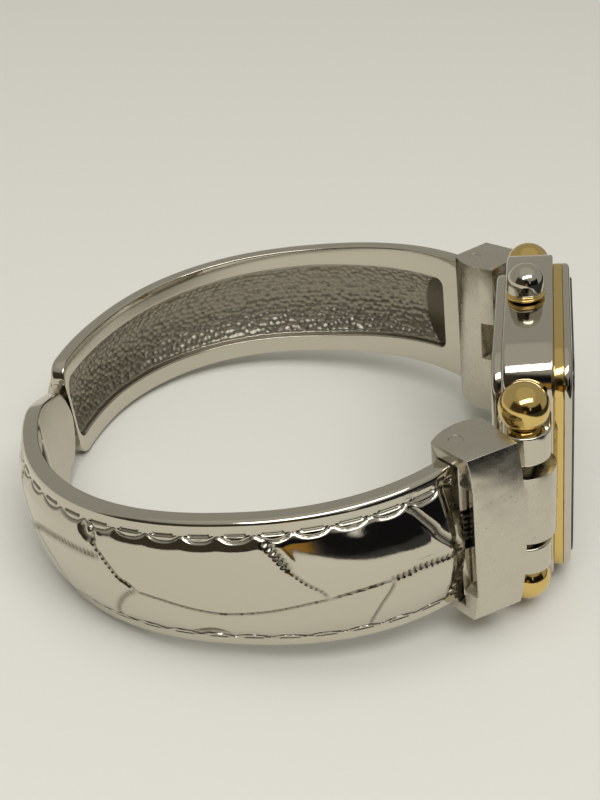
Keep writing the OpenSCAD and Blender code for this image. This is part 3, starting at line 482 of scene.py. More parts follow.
# Plan of the arms, as in the solids, in millimetres: a superellipse through the arm's root
INNER_Y, BACK_X, POWER = 28.5, -30.2, 2.27
HINGE_X, HINGE_Y, BLOCK_DEG = 17.0, 19.8, 47.2
ARM_END, ARM_IN, RIM, DOME = 2.1, 0.4, 1.75, 1.5
EDGE_ROUND, INNER_ROUND = 0.48, 0.22
ROOT_HALF, NEAR_BACK_HALF, FAR_BACK_HALF = 8.3, 6.8, 6.4
# Section of the outer face: the border leans up to a scalloped crease, and a shoulder leads to the crowned
# dome. It is (crown, shoulder, shoulder's run) near the root and at the back, and changes along a stretch
CANT, SECTION_ROOT, SECTION_BACK = 0.15, (1.85, 0.04, 0.5), (0.6, 0.46, 1.4)
CHANGE_FROM, CHANGE_RUN = 8, 17
CREASE_MID, CREASE_CUSP = 2.0, 1.5
# Where the row of stitches starts and how far from an arm's free end it stops, for the near and the far arm
FIRST_STITCH, STITCH_STOP = -0.2, (3.4, 2.2)
# Groove at the crease and slot over each stitch: place, depth, width, reach, and the painted shade laid in
# each
GROOVE_DEPTH, GROOVE_MORE_BELOW, GROOVE_HALF, GROOVE_SHADE = 0.14, 0.07, 0.1, 0.75
SLOT_AT, SLOT_DEPTH, SLOT_HALF, SLOT_REACH, SLOT_SHADE = 1.38, 0.17, 0.12, 0.62, 0.9
TICK_PITCH = 0.52
# Half width from which a border has its full size, and how far in the mesh is dense
BORDER_FULL, BORDER_DENSE = 4.6, 3.4
# Half width from which grooves are cut, and how much more it takes until they are full
GROOVES_FROM, GROOVES_RUN = 3.4, 1.6
NOSE_REACH, NOSE_HALF, NOSE_TAPER, NOSE_ROUND = 0.9, 3.7, 0.36, 2.0
END_GAP, BLUNT = 0.4, 2.2
# Pocket inside an arm: its ends, the rim beside it and how much that widens towards the hinge, its corners,
# its depth at the sides and the hollow along the middle, and the smooth crescent by the block
POCKET_ROOT, POCKET_NEAR_END, POCKET_FAR_END = 3.6, 11.5, 0.5
POCKET_BORDER, POCKET_NARROW, POCKET_CORNER = 2.2, 1.2, 1.1
POCKET_DEPTH, POCKET_BOW, CRESCENT = 0.5, 1.6, 4.2
# Pebbles: the field that they fill from its start before the hinge, the distance of two rows as a share of
# the pitch, how far one strays, the reach of a pebble and of the seam round it, and the seeds
FIELD_START, FIELD_LONG, FIELD_WIDE, ROW_SHARE, STRAY = 2, 72, 20, 0.87, 0.28
PEBBLE_REACH, SEAM_REACH, PEBBLE_SEEDS = 0.7, 0.35, (3, 5)
# Tarnish and painted shade on the pebbles, more painted shade in the seams between them, and how satin they
# are
PEBBLE_TARNISH_AND_SHADE, SEAM_SHADE, PEBBLE_SATIN = 0.54, 0.12, 0.42
# Mesh of an arm, in millimetres between stations and in columns across
STATION_STEP, FINE_STEP, END_RUN, OUTER_COLUMNS, INNER_COLUMNS = 0.14, 0.07, 3, 66, 88

# The hide's creases as ((s, z) points, half width, depth, height of the ticks across): s runs from the
# hinge, z towards the crown side
CREASES = (
    (((34.9, 5.9), (34.4, 5.0), (34.2, 3.5), (33.6, 2.7), (32.2, 0.6), (31.2, 0.0), (30.5, -0.7)),
     0.22, 0.24, 0.08),
    (((35.7, 5.6), (35.6, 4.7), (35.0, 4.2), (34.2, 4.4)), 0.34, 0.26, 0.0),
    (((44.5, 0.6), (43.0, 1.4), (41.0, 1.9), (39.2, 2.2), (36.3, 2.3), (33.9, 2.4)), 0.42, 0.2, 0.2),
    (((30.5, -0.7), (31.5, -1.4), (32.5, -2.6), (33.2, -4.0), (33.6, -5.6)), 0.28, 0.18, 0.1),
    (((30.5, -0.7), (28.1, -1.2), (24.6, -2.1), (22.0, -2.4), (18.5, -2.0), (14.4, -1.0), (12.7, -0.7)),
     0.14, 0.11, 0.05),
    (((12.7, -0.7), (11.5, -0.4), (10.2, -0.2), (7.7, 0.1)), 0.15, 0.12, 0.05),
    (((7.7, 0.1), (6.0, 0.2), (5.0, 0.4), (3.1, 0.2), (1.8, 0.0), (0.0, -0.4)), 0.34, 0.22, 0.22),
    (((17.5, 5.9), (17.4, 5.5), (16.8, 4.7), (16.2, 3.7), (15.7, 2.8)), 0.34, 0.3, 0.16),
    (((15.7, 2.8), (14.6, 1.5), (13.3, 0.3), (12.9, -0.6)), 0.16, 0.1, 0.08),
    (((4.8, 6.4), (4.3, 5.7), (3.1, 3.8), (2.7, 2.8), (1.5, 1.2), (0.4, 0.1)), 0.26, 0.24, 0.03),
    (((7.3, -0.2), (7.6, -1.1), (8.5, -2.8), (9.2, -4.8), (9.4, -6.0)), 0.15, 0.13, 0.03),
    (((22.6, -5.3), (24.0, -5.0), (25.6, -5.7)), 0.4, 0.3, 0.0),
    (((44.5, 0.4), (46.4, 1.6), (47.8, 3.2), (48.6, 5.0)), 0.26, 0.22, 0.08),
    (((44.5, 0.4), (46.9, -0.9), (48.8, -2.6), (49.6, -4.8)), 0.3, 0.2, 0.12),
    (((47.0, -0.95), (51.0, -0.4), (54.6, -0.3), (57.6, -0.8), (59.8, -2.2)), 0.22, 0.17, 0.1),
    (((54.6, -0.3), (55.8, 1.2), (56.5, 3.4)), 0.3, 0.22, 0.1),
    (((38.9, -6.0), (40.3, -3.9), (42.2, -1.6), (44.5, 0.4)), 0.26, 0.2, 0.08),
    (((57.6, -0.8), (60.4, 0.2), (62.6, 1.4)), 0.2, 0.14, 0.06),
)


def signed_pow(v, p):
    return np.sign(v) * np.abs(v) ** p


def eased(t):
    """A share kept within 0 and 1, with a soft start and end."""
    t = np.clip(t, 0, 1)
    return t * t * (3 - 2 * t)


def quarter(d, r):
    """Rise of a quarter circle from 0 at its start to 1 at the distance r."""
    return np.where(d < r, np.sqrt(np.maximum(1 - (1 - d / r) ** 2, 0)), 1)


def rolled(e, r):
    """How far a rounded edge of radius r falls away at the distance e from the outline."""
    return r - np.sqrt(np.maximum(r ** 2 - np.maximum(r - e, 0) ** 2, 0))


class ArmForm:
    """Plan curve, half width and relief of one arm, in millimetres along s and z."""

    def __init__(self, far):
        self.far = far
        self.back_half = FAR_BACK_HALF if far else NEAR_BACK_HALF
        turn = math.radians(BLOCK_DEG)
        ahead = np.array([math.cos(turn), math.sin(turn)])
        wrist = np.array([-math.sin(turn), math.cos(turn)])
        root = np.array([HINGE_X, -HINGE_Y]) - ARM_END * ahead + ARM_IN * wrist
        fill = (1 - (-root[1] / INNER_Y) ** POWER) ** (1 / POWER)
        self.half_x = (root[0] - BACK_X) / (1 + fill)
        self.mid_x = BACK_X + self.half_x
        first = math.acos(((root[0] - self.mid_x) / self.half_x) ** (POWER / 2))
        self.angles = np.linspace(first, math.radians(184), 4001)
        steps = np.diff(self.plan(self.angles), axis=0)
        self.arc = np.concatenate([[0], np.cumsum(np.hypot(*steps.T))])
        self.middle = float(np.interp(math.pi, self.angles, self.arc))
        self.length = self.middle - NOSE_REACH - END_GAP if far else self.middle + NOSE_REACH

    def plan(self, a):
        a = np.asarray(a, float)
        return np.stack([self.mid_x + self.half_x * signed_pow(np.cos(a), 2 / POWER),
                         -INNER_Y * signed_pow(np.sin(a), 2 / POWER)], -1)

    def frame_at(self, s):
        a = np.interp(s, self.arc, self.angles)
        ahead = self.plan(a + 1e-3) - self.plan(a - 1e-3)
        ahead /= np.linalg.norm(ahead, axis=-1, keepdims=True)
        return self.plan(a), np.stack([-ahead[..., 1], ahead[..., 0]], -1)

    def half(self, s):
        band = ROOT_HALF + (self.back_half - ROOT_HALF) * np.minimum(s / (self.middle * 0.8), 1)
        d = self.length - s
        if self.far:
            return band - BLUNT * (1 - quarter(d, BLUNT))
        taper = NOSE_HALF + NOSE_TAPER * d
        w = (taper + band - np.sqrt((taper - band) ** 2 + 0.25)) / 2
        return w * quarter(d, NOSE_ROUND)

    def stations(self):
        s = np.arange(0, self.length - END_RUN, STATION_STEP)
        for mark in self.pocket_ends():
            s = np.concatenate([s, np.arange(mark - 0.1, mark + 0.7, FINE_STEP)])
        end = END_RUN * (1 - np.cos(np.radians(np.linspace(0.8 if self.far else 2.5, 90, 46))))
        if self.far:
            end = np.concatenate([[0], end])
        s = np.sort(np.concatenate([s, self.length - end]))
        keep = np.concatenate([[True], np.diff(s) > 0.004])
        return s[keep]

    def pocket_ends(self):
        return (POCKET_ROOT, self.length - (POCKET_FAR_END if self.far else POCKET_NEAR_END))

    def edge_distance(self, s, z, w):
        """Distance from the outline, exact near the free end."""
        e = w - np.abs(z)
        near_end = np.nonzero(self.length - s[:, 0] < 4.5)[0]
        rim_s = self.length - 4.8 * (1 - np.cos(np.linspace(0, math.pi / 2, 260)))
        rim = np.stack([rim_s, self.half(rim_s)], -1)
        if self.far:
            flat_end = np.stack([np.full(60, self.length), np.linspace(0, rim[0, 1], 60)], -1)
            rim = np.concatenate([flat_end, rim])
        for i in near_end:
            p = np.stack([np.broadcast_to(s[i], z[i].shape), np.abs(z[i])], -1)
            a, b = rim[:-1], rim[1:]
            ab = b - a
            t = ((p[:, None] - a) * ab).sum(-1) / np.maximum((ab ** 2).sum(-1), 1e-12)
            foot = a + np.clip(t, 0, 1)[..., None] * ab
            e[i] = np.minimum(e[i], np.sqrt(((p[:, None] - foot) ** 2).sum(-1)).min(1))
        return np.maximum(e, 0)


def along_line(points, s, z):
    """Distance from a polyline and the length along it to the nearest point."""
    best = np.full(s.shape, 1e9)
    along = np.zeros(s.shape)
    run = 0.0
    for (s0, z0), (s1, z1) in zip(points[:-1], points[1:]):
        ds, dz = s1 - s0, z1 - z0
        size = math.hypot(ds, dz)
        t = np.clip(((s - s0) * ds + (z - z0) * dz) / size ** 2, 0, 1)
        d = np.hypot(s - s0 - t * ds, z - z0 - t * dz)
        nearer = d < best
        best = np.where(nearer, d, best)
        along = np.where(nearer, run + t * size, along)
        run += size
    return best, along, run


def smooth_line(points, steps=6):
    """Catmull-Rom curve through the points."""
    p = np.array([points[0], *points, points[-1]], float)
    out = []
    for i in range(1, len(p) - 2):
        for t in np.arange(steps) / steps:
            out.append(0.5 * (2 * p[i] + (p[i + 1] - p[i - 1]) * t
                              + (2 * p[i - 1] - 5 * p[i] + 4 * p[i + 1] - p[i + 2]) * t ** 2
                              + (3 * p[i] - p[i - 1] - 3 * p[i + 1] + p[i + 2]) * t ** 3))
    return [tuple(v) for v in out] + [tuple(p[-2])]


def hide_relief(form, s, z, w, settings):
    """Height over the rim's plane and the painted shade of the outer face."""
    y = w - np.abs(z)
    narrow = np.minimum(1, w / BORDER_FULL)
    wide = np.clip((w - GROOVES_FROM) / GROOVES_RUN, 0, 1)
    depth = settings.crease_depth / MM / FULL_DEPTH
    side = -1 if form.far else 1
    # A row of half-moons along the border, each under a straight slot
    pitch = settings.stitch_pitch / MM
    stop = form.length - STITCH_STOP[form.far]
    phase = (s - FIRST_STITCH) / pitch
    k = np.round(phase)
    off = 2 * (phase - k)
    fits = np.clip((stop - (FIRST_STITCH + k * pitch)) / 0.5, 0, 1) * wide
    scallop = np.clip(1 - (np.abs(off) / 0.88) ** 2.4, 0, 1) ** 0.8
    crease = CREASE_CUSP + (CREASE_MID - CREASE_CUSP) * scallop
    edge = (crease * fits + CREASE_CUSP * (1 - fits)) * narrow
    # The section starts as the solid's low bow, where the arm swings in its block
    room = eased(s - 0.9)
    back = eased((s - CHANGE_FROM) / CHANGE_RUN)
    crown, shoulder, run = (a + (b - a) * back for a, b in zip(SECTION_ROOT, SECTION_BACK))
    even = CREASE_CUSP * narrow
    rise = 1 - (1 - np.clip((y - 0.2 * edge - 0.8 * even - 0.12) / (run * narrow), 0, 1)) ** 1.6
    bowed = DOME * np.clip(1 - (z / (w - np.minimum(2, 0.42 * w))) ** 2, 0, 1)
    boxy = CANT * np.minimum(y, even) + shoulder * rise + crown * np.clip(1 - (z / (w - even)) ** 2, 0, 1)
    height = np.minimum(1, w / NOSE_HALF) * ((1 - room) * bowed + room * boxy)
    groove = np.exp(-((y - edge) / GROOVE_HALF) ** 2)
    height -= depth * (GROOVE_DEPTH + GROOVE_MORE_BELOW * (z * side < 0)) * groove * wide
    slot = np.exp(-((y - SLOT_AT) / SLOT_HALF) ** 4)
    slot = slot * np.clip((SLOT_REACH - np.abs(off)) / 0.08, 0, 1) * fits
    height -= depth * SLOT_DEPTH * slot
    lip = np.clip((y - SLOT_AT) / np.maximum(crease - SLOT_AT, 0.1), 0, 1)
    height += settings.stitch_height / MM * np.sin(math.pi * lip) ** 0.7 * fits * room
    # Painted shade in the groove under the dome and in each stitch's slot
    shade_and_tarnish = np.maximum(GROOVE_SHADE * groove * (0.4 + 0.6 * wide), SLOT_SHADE * slot)
    # Creases of the hide
    plate = np.clip((y - 2.5) / 0.5, 0, 1)
    for points, half, deep, tick in CREASES:
        line = smooth_line(points)
        lo, hi = min(p[0] for p in line) - 1.6, max(p[0] for p in line) + 1.6
        rows = np.nonzero((s[:, 0] > lo) & (s[:, 0] < hi))[0]
        if not len(rows):
            continue
        part = slice(rows[0], rows[-1] + 1)
        d, along, run = along_line(line, s[part], z[part] * side)
        ends = np.clip(along / 0.8 + 0.35, 0, 1) * np.clip((run - along) / 0.8 + 0.35, 0, 1)
        cut = np.exp(-(d / half) ** 2) * ends
        wave = 0.5 + 0.5 * np.cos(2 * math.pi * along / TICK_PITCH)
        bank = np.exp(-((d - 1.9 * half) / (0.9 * half)) ** 2) * ends
        mask = np.clip(y[part] / 2.2, 0, 1) ** 2
        ridges = tick * wave * np.exp(-(d / (1.25 * half)) ** 4) * ends + 0.05 * bank
        height[part] += mask * (ridges * room[part] - depth * deep * cut)
        # Painted shade in each crease's cut, lighter on its ticks
        shade_and_tarnish[part] = np.maximum(shade_and_tarnish[part], mask * cut * (0.85 - 0.45 * wave * (tick > 0.05)))
    # Faint unevenness of the casting
    swell = np.sin(s * 1.7 + 1.3 * np.sin(z * 0.9)) * np.cos(z * 1.3 + 0.8 * np.sin(s * 0.6))
    height += 0.004 * plate * swell
    return height, shade_and_tarnish


def pebbles(s, z, settings, seed):
    """Close-set round bumps on a jittered grid."""
    pitch = settings.pebble_pitch / MM
    rng = np.random.default_rng(seed)
    cols, rows = int(FIELD_LONG / pitch), int(FIELD_WIDE / (pitch * ROW_SHARE))
    # The third draw isn't used: it only keeps the sizes drawn after it
    js, jz, _ = (rng.uniform(-STRAY, STRAY, (rows, cols)) * pitch for _ in range(3))
    size = rng.uniform(0.8, 1.15, (rows, cols))
    row = (z + FIELD_WIDE / 2) / (pitch * ROW_SHARE)
    best = np.full(s.shape, 1e9)
    second = np.full(s.shape, 1e9)
    lift = np.zeros(s.shape)
    for dr in (-1, 0, 1):
        r = np.clip(np.round(row).astype(int) + dr, 0, rows - 1)
        for dc in (-1, 0, 1):
            c = np.round((s + FIELD_START) / pitch - 0.5 * (r % 2)).astype(int) + dc
            c = np.clip(c, 0, cols - 1)
            cs = (c + 0.5 * (r % 2)) * pitch - FIELD_START + js[r, c]
            cz = r * pitch * ROW_SHARE - FIELD_WIDE / 2 + jz[r, c]
            d = np.hypot(s - cs, z - cz) / size[r, c]
            second = np.where(d < best, best, np.minimum(second, d))
            lift = np.where(d < best, size[r, c], lift)
            best = np.minimum(best, d)
    dome = np.clip(1 - (best / (PEBBLE_REACH * pitch)) ** 2, 0, 1)
    seam = np.clip(1 - (second - best) / (SEAM_REACH * pitch), 0, 1)
    return dome * lift, seam


def make_arm(name, far, settings):
    form = ArmForm(far)
    s1 = form.stations()
    w1 = np.maximum(form.half(s1), 0.02)
    count = len(s1)
    s, w = s1[:, None], w1[:, None]
    # Outer face: dense along the two borders
    edge = np.concatenate([[0, 0.02, 0.07, 0.14, 0.23, 0.33, 0.45, 0.62, 0.82, 1.05],
                           np.linspace(1.25, BORDER_DENSE, 30)])
    narrow = np.minimum(1, w / BORDER_FULL)
    lo = -w + edge * narrow
    mid = np.linspace(-1, 1, OUTER_COLUMNS)[1:-1] * (w - BORDER_DENSE * narrow)
    z_out = np.concatenate([lo, mid, -lo[:, ::-1]], 1)
    s_out = np.broadcast_to(s, z_out.shape)
    e_out = form.edge_distance(s_out, z_out, w)
    relief, shade_out = hide_relief(form, s_out, z_out, w, settings)
    round_off = rolled(e_out, np.minimum(EDGE_ROUND, 0.4 * w))
    u_out = RIM - round_off + relief * np.clip(e_out / 0.35, 0, 1)
    u_out = np.where(e_out < 0.3, np.minimum(u_out, RIM + relief * 0.999 - round_off), u_out)
    # Inner face: border, wall and pebbled floor
    first, last = form.pocket_ends()
    inset = POCKET_BORDER + POCKET_NARROW * np.maximum(0, 1 - s / (form.middle / 3))
    inset = np.minimum(inset, 0.42 * w)
    brow = np.array([0, 0.02, 0.07, 0.14, 0.24, 0.5, 0.8, 0.93, 1.0])
    wall = np.array([0.06, 0.13, 0.2, 0.27, 0.34, 0.42, 0.5])
    lo = np.concatenate([-w + np.where(brow < 0.3, brow * np.minimum(1, w / 2), inset * brow),
                         -w + inset + wall * np.minimum(1, w / 5)], 1)
    mid = np.linspace(-1, 1, INNER_COLUMNS)[1:-1] * np.abs(lo[:, -1:])
    z_in = np.concatenate([lo, mid, -lo[:, ::-1]], 1)[:, ::-1]
    s_in = np.broadcast_to(s, z_in.shape)
    e_in = form.edge_distance(s_in, z_in, w)
    side = w - np.abs(z_in) - inset
    ahead = np.minimum(s - first, last - s)
    rc = POCKET_CORNER
    corner = rc - np.hypot(np.maximum(rc - side, 0), np.maximum(rc - ahead, 0))
    deep = np.where((side < rc) & (ahead < rc), corner, np.minimum(side, ahead))
    sink = eased(deep / 0.42)
    half_floor = np.maximum(w - inset, 0.5)
    bowl = POCKET_DEPTH + POCKET_BOW * np.clip(1 - (z_in / half_floor) ** 2, 0, 1)
    bumps, seam = pebbles(s_in, z_in, settings, PEBBLE_SEEDS[far])
    # By the block the floor ends in a smooth crescent, darkened with painted shade
    crescent = CRESCENT * np.sqrt(np.clip(1.02 - (z_in / half_floor) ** 2, 0.01, 1))
    smooth = np.clip((first + crescent - s) / 0.25, 0, 1)
    floor_mask = np.clip((deep - 0.3) / 0.3, 0, 1) * (1 - smooth)
    round_in = rolled(e_in, np.minimum(INNER_ROUND, 0.3 * w))
    crown = -0.13 * np.clip(1 - (z_in / w) ** 2, 0, 1) * (1 - np.clip((ahead + 1.5) / 1.5, 0, 1))
    crown = crown * np.clip((s - 8) / 3, 0, 1)
    u_in = round_in + crown + sink * (bowl - settings.pebble_height / MM * bumps * floor_mask)
    # Tarnish and painted shade on the pebbles, painted shade in their seams and on the smooth crescent
    shade_and_tarnish_in = floor_mask * (PEBBLE_TARNISH_AND_SHADE + SEAM_SHADE * seam) + smooth * sink
    # A band of painted shade down the pocket's wall
    shade_and_tarnish_in = shade_and_tarnish_in + np.exp(-((deep - 0.25) / 0.2) ** 2) * 0.4
    # Rings, from the lower edge over the outer face and back inside
    base, normal = form.frame_at(s1)
    u = np.concatenate([u_out, u_in], 1)
    z = np.concatenate([z_out, z_in], 1)
    x = base[:, :1] + normal[:, :1] * u
    y = base[:, 1:] + normal[:, 1:] * u
    verts = np.stack([x, -y if far else y, z], -1) * MM
    per = verts.shape[1]
    index = np.arange(count * per).reshape(count, per)
    nxt = np.roll(index, -1, 1)
    quads = np.stack([index[:-1], nxt[:-1], nxt[1:], index[1:]], -1).reshape(-1, 4)
    ends = [index[0][::-1], index[-1]]
    if far:
        quads = quads[:, ::-1]
        ends = [end[::-1] for end in ends]
    mesh = bpy.data.meshes.new(name)
    mesh.from_pydata(verts.reshape(-1, 3), [], quads.tolist() + [end.tolist() for end in ends])
    mesh.validate()
    arm = shown(mesh, 50)
    # The near arm's pad is satin, and so are the pebbles, less strongly
    satin = 0 * s_in if far else np.clip((s_in - last) / 0.4, 0, 1) * np.clip(e_in / 0.5, 0, 1)
    satin = np.maximum(satin, PEBBLE_SATIN * floor_mask)
    # The painted shade and tarnish of both faces, and the satin, are stored on the mesh for the material
    for key, outer, inner in (("recess", shade_out, shade_and_tarnish_in), ("satin", 0 * s_out, satin)):
        values = mesh.attributes.new(key, "FLOAT", "POINT")
        level = np.concatenate([outer, inner], 1).clip(0, 1)
        values.data.foreach_set("value", level.ravel().astype(np.float32))
    return arm


class CUFF_OT_arms(Operator):
    """Cast the two arms: dome, rows of stitches, hide creases and pebbled pockets"""

    bl_idname = "cuff.arms"
    bl_label = "Arms"

    def execute(self, context):
        settings = context.scene.cuff_arms
        for name, body, far in (("near_arm", "near_arm", False), ("far_arm", "far_arm", True)):
            arm = make_arm(name + "_cast", far, settings)
            place(arm, body, "polished_steel", finish_of("arm_steel"), name)
        return {"FINISHED"}


# Head

# Half sizes of the head in millimetres: along the wrist, along the bangle's axis, and the corner radius
CASE = (13.2, 14.3, 4.4)
BEZEL = (12.6, 13.4, 4.1)
GLASS = (11.1, 11.9, 2.75)
BACK = (11.8, 12.6, 4.1)
CAVITY = (10.6, 12.0, 2.4)
WINDOW = (9.9, 11.3, 2.05)
# Levels of the head in millimetres, from the wrist towards the dial
COVER_BACK, COVER_FRONT = 20.0, 21.08
CASE_BACK, CASE_STEP, CASE_FRONT = 21.1, 24.6, 26.1
RING_FRONT, BEZEL_FRONT = 27.1, 27.9
PANE_BACK, PANE_FRONT = 26.95, 28.15


def cushion_ring(form, inset, x):
    """A rounded rectangle in the plane x, inset evenly from its full outline."""
    half_y, half_z, r = form
    flat = round_rect(half_y - inset, half_z - inset, max(r - inset, 0.3))
    return np.stack([np.full(len(flat), x), flat[:, 0], flat[:, 1]], -1)


def edge_round(form, x, size, towards, front, steps=5):
    """Rings round an edge of a cushion: towards is +1 where the edge is at the dial's side."""
    rings = []
    for k in range(steps + 1):
        a = math.pi / 2 * k / steps
        inset, sink = size * (1 - math.cos(a)), size * (1 - math.sin(a))
        rings.append(cushion_ring(form, inset, x - towards * sink))
    return rings if front else rings[::-1]


def cushion_tube(outer, inner):
    """A closed frame from outer rings, back to front, and inner rings, front to back."""
    return loft(outer + inner, closed=True)


def lathe(profile, x, y, closed=False, steps=80):
    """A turned piece round the Z direction: profile of (radius, height) from one end to the other."""
    angles = np.linspace(0, 2 * math.pi, steps, endpoint=False)
    rings = [np.stack([x + r * np.cos(angles), y + r * np.sin(angles), np.full(steps, h)], -1)
             for r, h in profile]
    return loft(rings, closed)


def slab(outline, z0, z1, r, steps=4):
    """A prism with rounded top and bottom edges: outline is a function from an inset to points."""
    levels = [(r * (1 - math.sin(a)), z0 + r * (1 - math.cos(a)))
              for a in np.linspace(0, math.pi / 2, steps + 1)]
    levels = levels + [(i, z1 - (z - z0)) for i, z in reversed(levels)]
    rings = []
    for inset, z in levels:
        flat = outline(inset)
        rings.append(np.stack([flat[:, 0], flat[:, 1], np.full(len(flat), z)], -1))
    return loft(rings)


# Lug pins, the horns round them and the web's two faces, and the balls on their ends
LUG_X, LUG_Y, HORN_R, HORN_IN, HORN_OUT = 23.3, 15.4, 2.6, 5.1, 8.4
WEB_BACK, WEB_FRONT, WEB_ROOT = 21.5, 25.9, -12.6
BALL_R, BALL_Z = 2.5, 10.45
CROWN_R, CROWN_MID, CROWN_BASE = 1.91, 16.0, 15.02


def horn_outline(side):
    """Plan of a lug horn: a round end on a straight web that goes into the case."""
    def outline(inset):
        r = HORN_R - inset
        turn = np.linspace(0, -math.pi, 33)
        x = LUG_X + r * np.cos(turn)
        y = -LUG_Y + r * np.sin(turn)
        x0, x1, start = WEB_BACK + inset, WEB_FRONT - inset, -LUG_Y + 0.4
        pts = [(x1, WEB_ROOT), (x1, start)] + [(min(max(a, x0), x1), b) for a, b in zip(x, y)]
        pts += [(x0, start), (x0, WEB_ROOT)]
        out = np.array(pts)
        out[:, 1] *= -side
        return out
    return outline


def bevelled_copy(node, name, size, shape, angle=28):
    """A copy of a solid's mesh with its sharp edges rounded, after shape has moved its corners."""
    mesh = NODES[node].data.copy()
    mesh.name = name
    for vert in mesh.vertices:
        vert.co = shape(vert.co)
    bm = bmesh.new()
    bm.from_mesh(mesh)
    bmesh.ops.remove_doubles(bm, verts=bm.verts, dist=0.004 * MM)
    bmesh.ops.dissolve_limit(bm, angle_limit=math.radians(0.6), verts=bm.verts, edges=bm.edges)
    sharp = [e for e in bm.edges if len(e.link_faces) == 2 and e.calc_face_angle(0) > math.radians(angle)]
    bmesh.ops.bevel(bm, geom=sharp, offset=size, segments=3, profile=0.5, affect="EDGES",
                    clamp_overlap=True, harden_normals=False, miter_outer="ARC")
    bm.to_mesh(mesh)
    bm.free()
    return shown(mesh, 32)


# The blocks' outer face in millimetres, as in the solids, and the swell that the photograph shows
BLOCK_HALF, BLOCK_SWELL, SIDE_OUT, OUTER_SLANT = 9.7, 2.3, (-1.95, -3.45), 13.4
LOOK_SWELL = 1.1


class CUFF_OT_blocks(Operator):
    """Round the edges of the two end blocks"""

    bl_idname = "cuff.blocks"
    bl_label = "End blocks"

    def execute(self, context):
        for node, side in (("near_block", 1), ("far_block", -1)):
            cast = bevelled_copy(node, node + "_cast", 0.3 * MM, lambda co: self.flatter(co, side))
            place(cast, "head", "satin_steel", finish_of("block_steel"), node)
        return {"FINISHED"}

    def flatter(self, co, side):
        """A corner of the outer face, drawn in so that the face swells less; any other corner stays."""
        turn = math.radians(BLOCK_DEG)
        x, y = co.x / MM - HINGE_X, side * co.y / MM + HINGE_Y
        local = Vector((x * math.cos(turn) + y * math.sin(turn), y * math.cos(turn) - x * math.sin(turn)))
        slant = math.radians(OUTER_SLANT)
        out = Vector((-math.sin(slant), -math.cos(slant)))
        swell = BLOCK_SWELL * (1 - (co.z / MM / BLOCK_HALF) ** 2)
        on_face = (local - Vector(SIDE_OUT)).dot(out) >= swell - 0.3
        if not on_face or abs(co.z / MM) > BLOCK_HALF - 0.01:
            return co
        local -= out * swell * (1 - LOOK_SWELL / BLOCK_SWELL)
        return Vector(((HINGE_X + local.x * math.cos(turn) - local.y * math.sin(turn)) * MM,
                       side * (local.x * math.sin(turn) + local.y * math.cos(turn) - HINGE_Y) * MM, co.z))


class CUFF_OT_case(Operator):
    """Make the case, its back, the gold ring, the bezel and the glass"""

    bl_idname = "cuff.case"
    bl_label = "Case"

    def execute(self, context):
        shell = cushion_tube(
            [cushion_ring(CASE, 0.62, CASE_BACK)] + edge_round(CASE, CASE_BACK, 0.42, -1, False)
            + edge_round(CASE, CASE_FRONT, 0.22, 1, True),
            [cushion_ring(WINDOW, 0, CASE_FRONT), cushion_ring(WINDOW, 0, CASE_STEP),
             cushion_ring(CAVITY, 0, CASE_STEP), cushion_ring(CAVITY, 0, CASE_BACK)])
        horns = [slab(horn_outline(side), z0, z0 + HORN_OUT - HORN_IN, 0.22)
                 for side in (1, -1) for z0 in (HORN_IN, -HORN_OUT)]
        build("case_shell", joined([shell, *horns]), 40, "head", "polished_steel", "case_middle")
        cover = loft([cushion_ring(BACK, 0.9, COVER_BACK)] + edge_round(BACK, COVER_BACK, 0.5, -1, False)
                     + edge_round(BACK, COVER_FRONT, 0.12, 1, True) + [cushion_ring(BACK, 0.5, COVER_FRONT)])
        build("case_cover", cover, 40, "head", "polished_steel", "case_back")
        band = cushion_tube(
            edge_round(BEZEL, CASE_FRONT, 0.12, -1, False) + edge_round(BEZEL, RING_FRONT, 0.12, 1, True),
            [cushion_ring(GLASS, 0.3, RING_FRONT), cushion_ring(GLASS, 0.3, CASE_FRONT)])
        build("gold_band", band, 40, "head", "yellow_gold", "gold_ring")
        bezel = cushion_tube(
            edge_round(BEZEL, RING_FRONT, 0.1, -1, False) + edge_round(BEZEL, BEZEL_FRONT, 0.55, 1, True, 8),
            [cushion_ring(GLASS, -0.1, BEZEL_FRONT), cushion_ring(GLASS, -0.02, BEZEL_FRONT - 0.08),
             cushion_ring(GLASS, 0, RING_FRONT)])
        build("bezel_frame", bezel, 40, "head", "polished_steel", "bezel")
        pane = loft(edge_round(GLASS, PANE_BACK, 0.06, -1, False, 2)
                    + edge_round(GLASS, PANE_FRONT, 0.18, 1, True, 4))
        build("glass_pane", pane, 40, "head", "mineral_glass", "crystal")
        return {"FINISHED"}


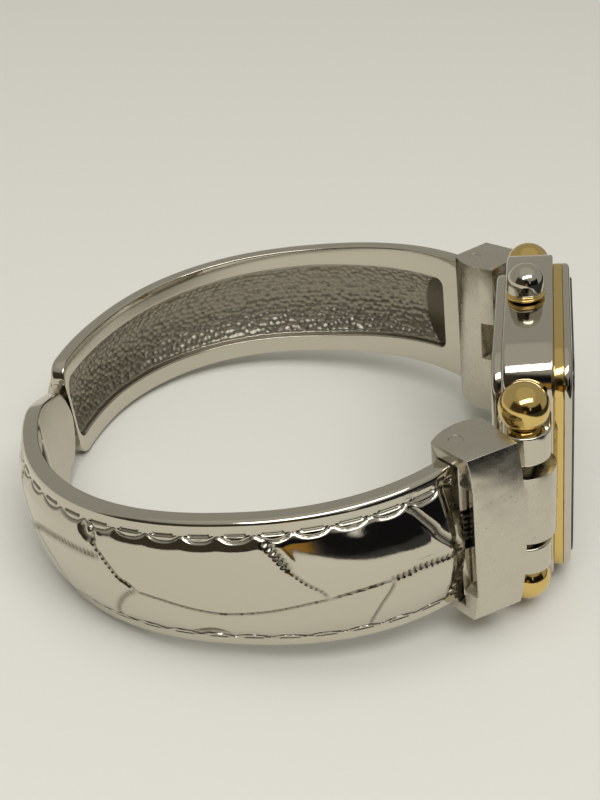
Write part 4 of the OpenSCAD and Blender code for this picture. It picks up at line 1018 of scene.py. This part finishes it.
class CUFF_OT_gilding(Operator):
    """Turn the ball caps, the crown and its collar"""

    bl_idname = "cuff.gilding"
    bl_label = "Balls and crown"

    def execute(self, context):
        seat = math.acos((BALL_Z - HORN_OUT) / BALL_R)
        for name, y, up in (("near_upper", -1, 1), ("near_lower", -1, -1),
                            ("far_upper", 1, 1), ("far_lower", 1, -1)):
            arc = [(BALL_R * math.sin(a), up * (BALL_Z - BALL_R * math.cos(a)))
                   for a in np.linspace(seat, math.pi - 0.02, 40)]
            profile = [(1.0, up * (HORN_OUT + 0.02))] + arc
            cap = lathe(profile, LUG_X, y * LUG_Y)
            build(name + "_cap", cap, 60, "head", "yellow_gold", name + "_ball")
        dome = [(0.9, CROWN_BASE), (1.7, CROWN_BASE), (1.84, 15.06), (1.9, 15.15), (CROWN_R, 15.25)]
        dome += [(CROWN_R * math.sin(a), CROWN_MID - CROWN_R * math.cos(a))
                 for a in np.linspace(math.pi / 2, math.pi - 0.02, 30)]
        build("crown_dome", lathe(dome, LUG_X, 0), 60, "crown", "polished_steel", "crown")
        collar = [(1.2, 14.42), (1.5, 14.42), (1.86, 14.48), (2.0, 14.56), (2.04, 14.67), (2.0, 14.78),
                  (1.86, 14.84), (1.74, 14.89), (1.7, 15.0), (1.2, 15.01)]
        ring = lathe(collar, LUG_X, 0, closed=True)
        build("crown_band", ring, 60, "crown", "yellow_gold", "crown_collar")
        return {"FINISHED"}


# Carried-over nodes


class CUFF_OT_carried(Operator):
    """Give the carried-over CAD nodes their finishes"""

    bl_idname = "cuff.carried"
    bl_label = "Carried-over nodes"

    def execute(self, context):
        slots = {s["node"]: s["material_slot"] for s in frame["record"]["subparts"]}
        for name, node in NODES.items():
            node.data.materials.clear()
            node.data.materials.append(finish_of(slots[name]))
        return {"FINISHED"}


class CUFF_PT_panel(Panel):
    """The pieces of the cuff watch"""

    bl_idname = "CUFF_PT_panel"
    bl_label = "Cuff Watch"
    bl_space_type = "VIEW_3D"
    bl_region_type = "UI"
    bl_category = "Cuff Watch"

    def draw(self, context):
        for step in STEPS:
            self.layout.operator(step.bl_idname)
        for group in (context.scene.cuff_arms, context.scene.cuff_metals, context.scene.cuff_studio):
            box = self.layout.box()
            for key in group.__annotations__:
                box.prop(group, key)


STEPS = (CUFF_OT_carried, CUFF_OT_arms, CUFF_OT_blocks, CUFF_OT_case, CUFF_OT_gilding, CUFF_OT_stage)
SETTINGS = (("cuff_arms", CuffArmSettings), ("cuff_metals", CuffMetalSettings),
            ("cuff_studio", CuffStudioSettings))


def register():
    for name, group in SETTINGS:
        bpy.utils.register_class(group)
        setattr(bpy.types.Scene, name, PointerProperty(type=group))
    for cls in (*STEPS, CUFF_PT_panel):
        bpy.utils.register_class(cls)


def unregister():
    for cls in reversed((*STEPS, CUFF_PT_panel)):
        bpy.utils.unregister_class(cls)
    for name, group in reversed(SETTINGS):
        delattr(bpy.types.Scene, name)
        bpy.utils.unregister_class(group)


def main():
    register()
    for step in STEPS:
        space, name = step.bl_idname.split(".")
        getattr(getattr(bpy.ops, space), name)()


if __name__ == "__main__":
    main()
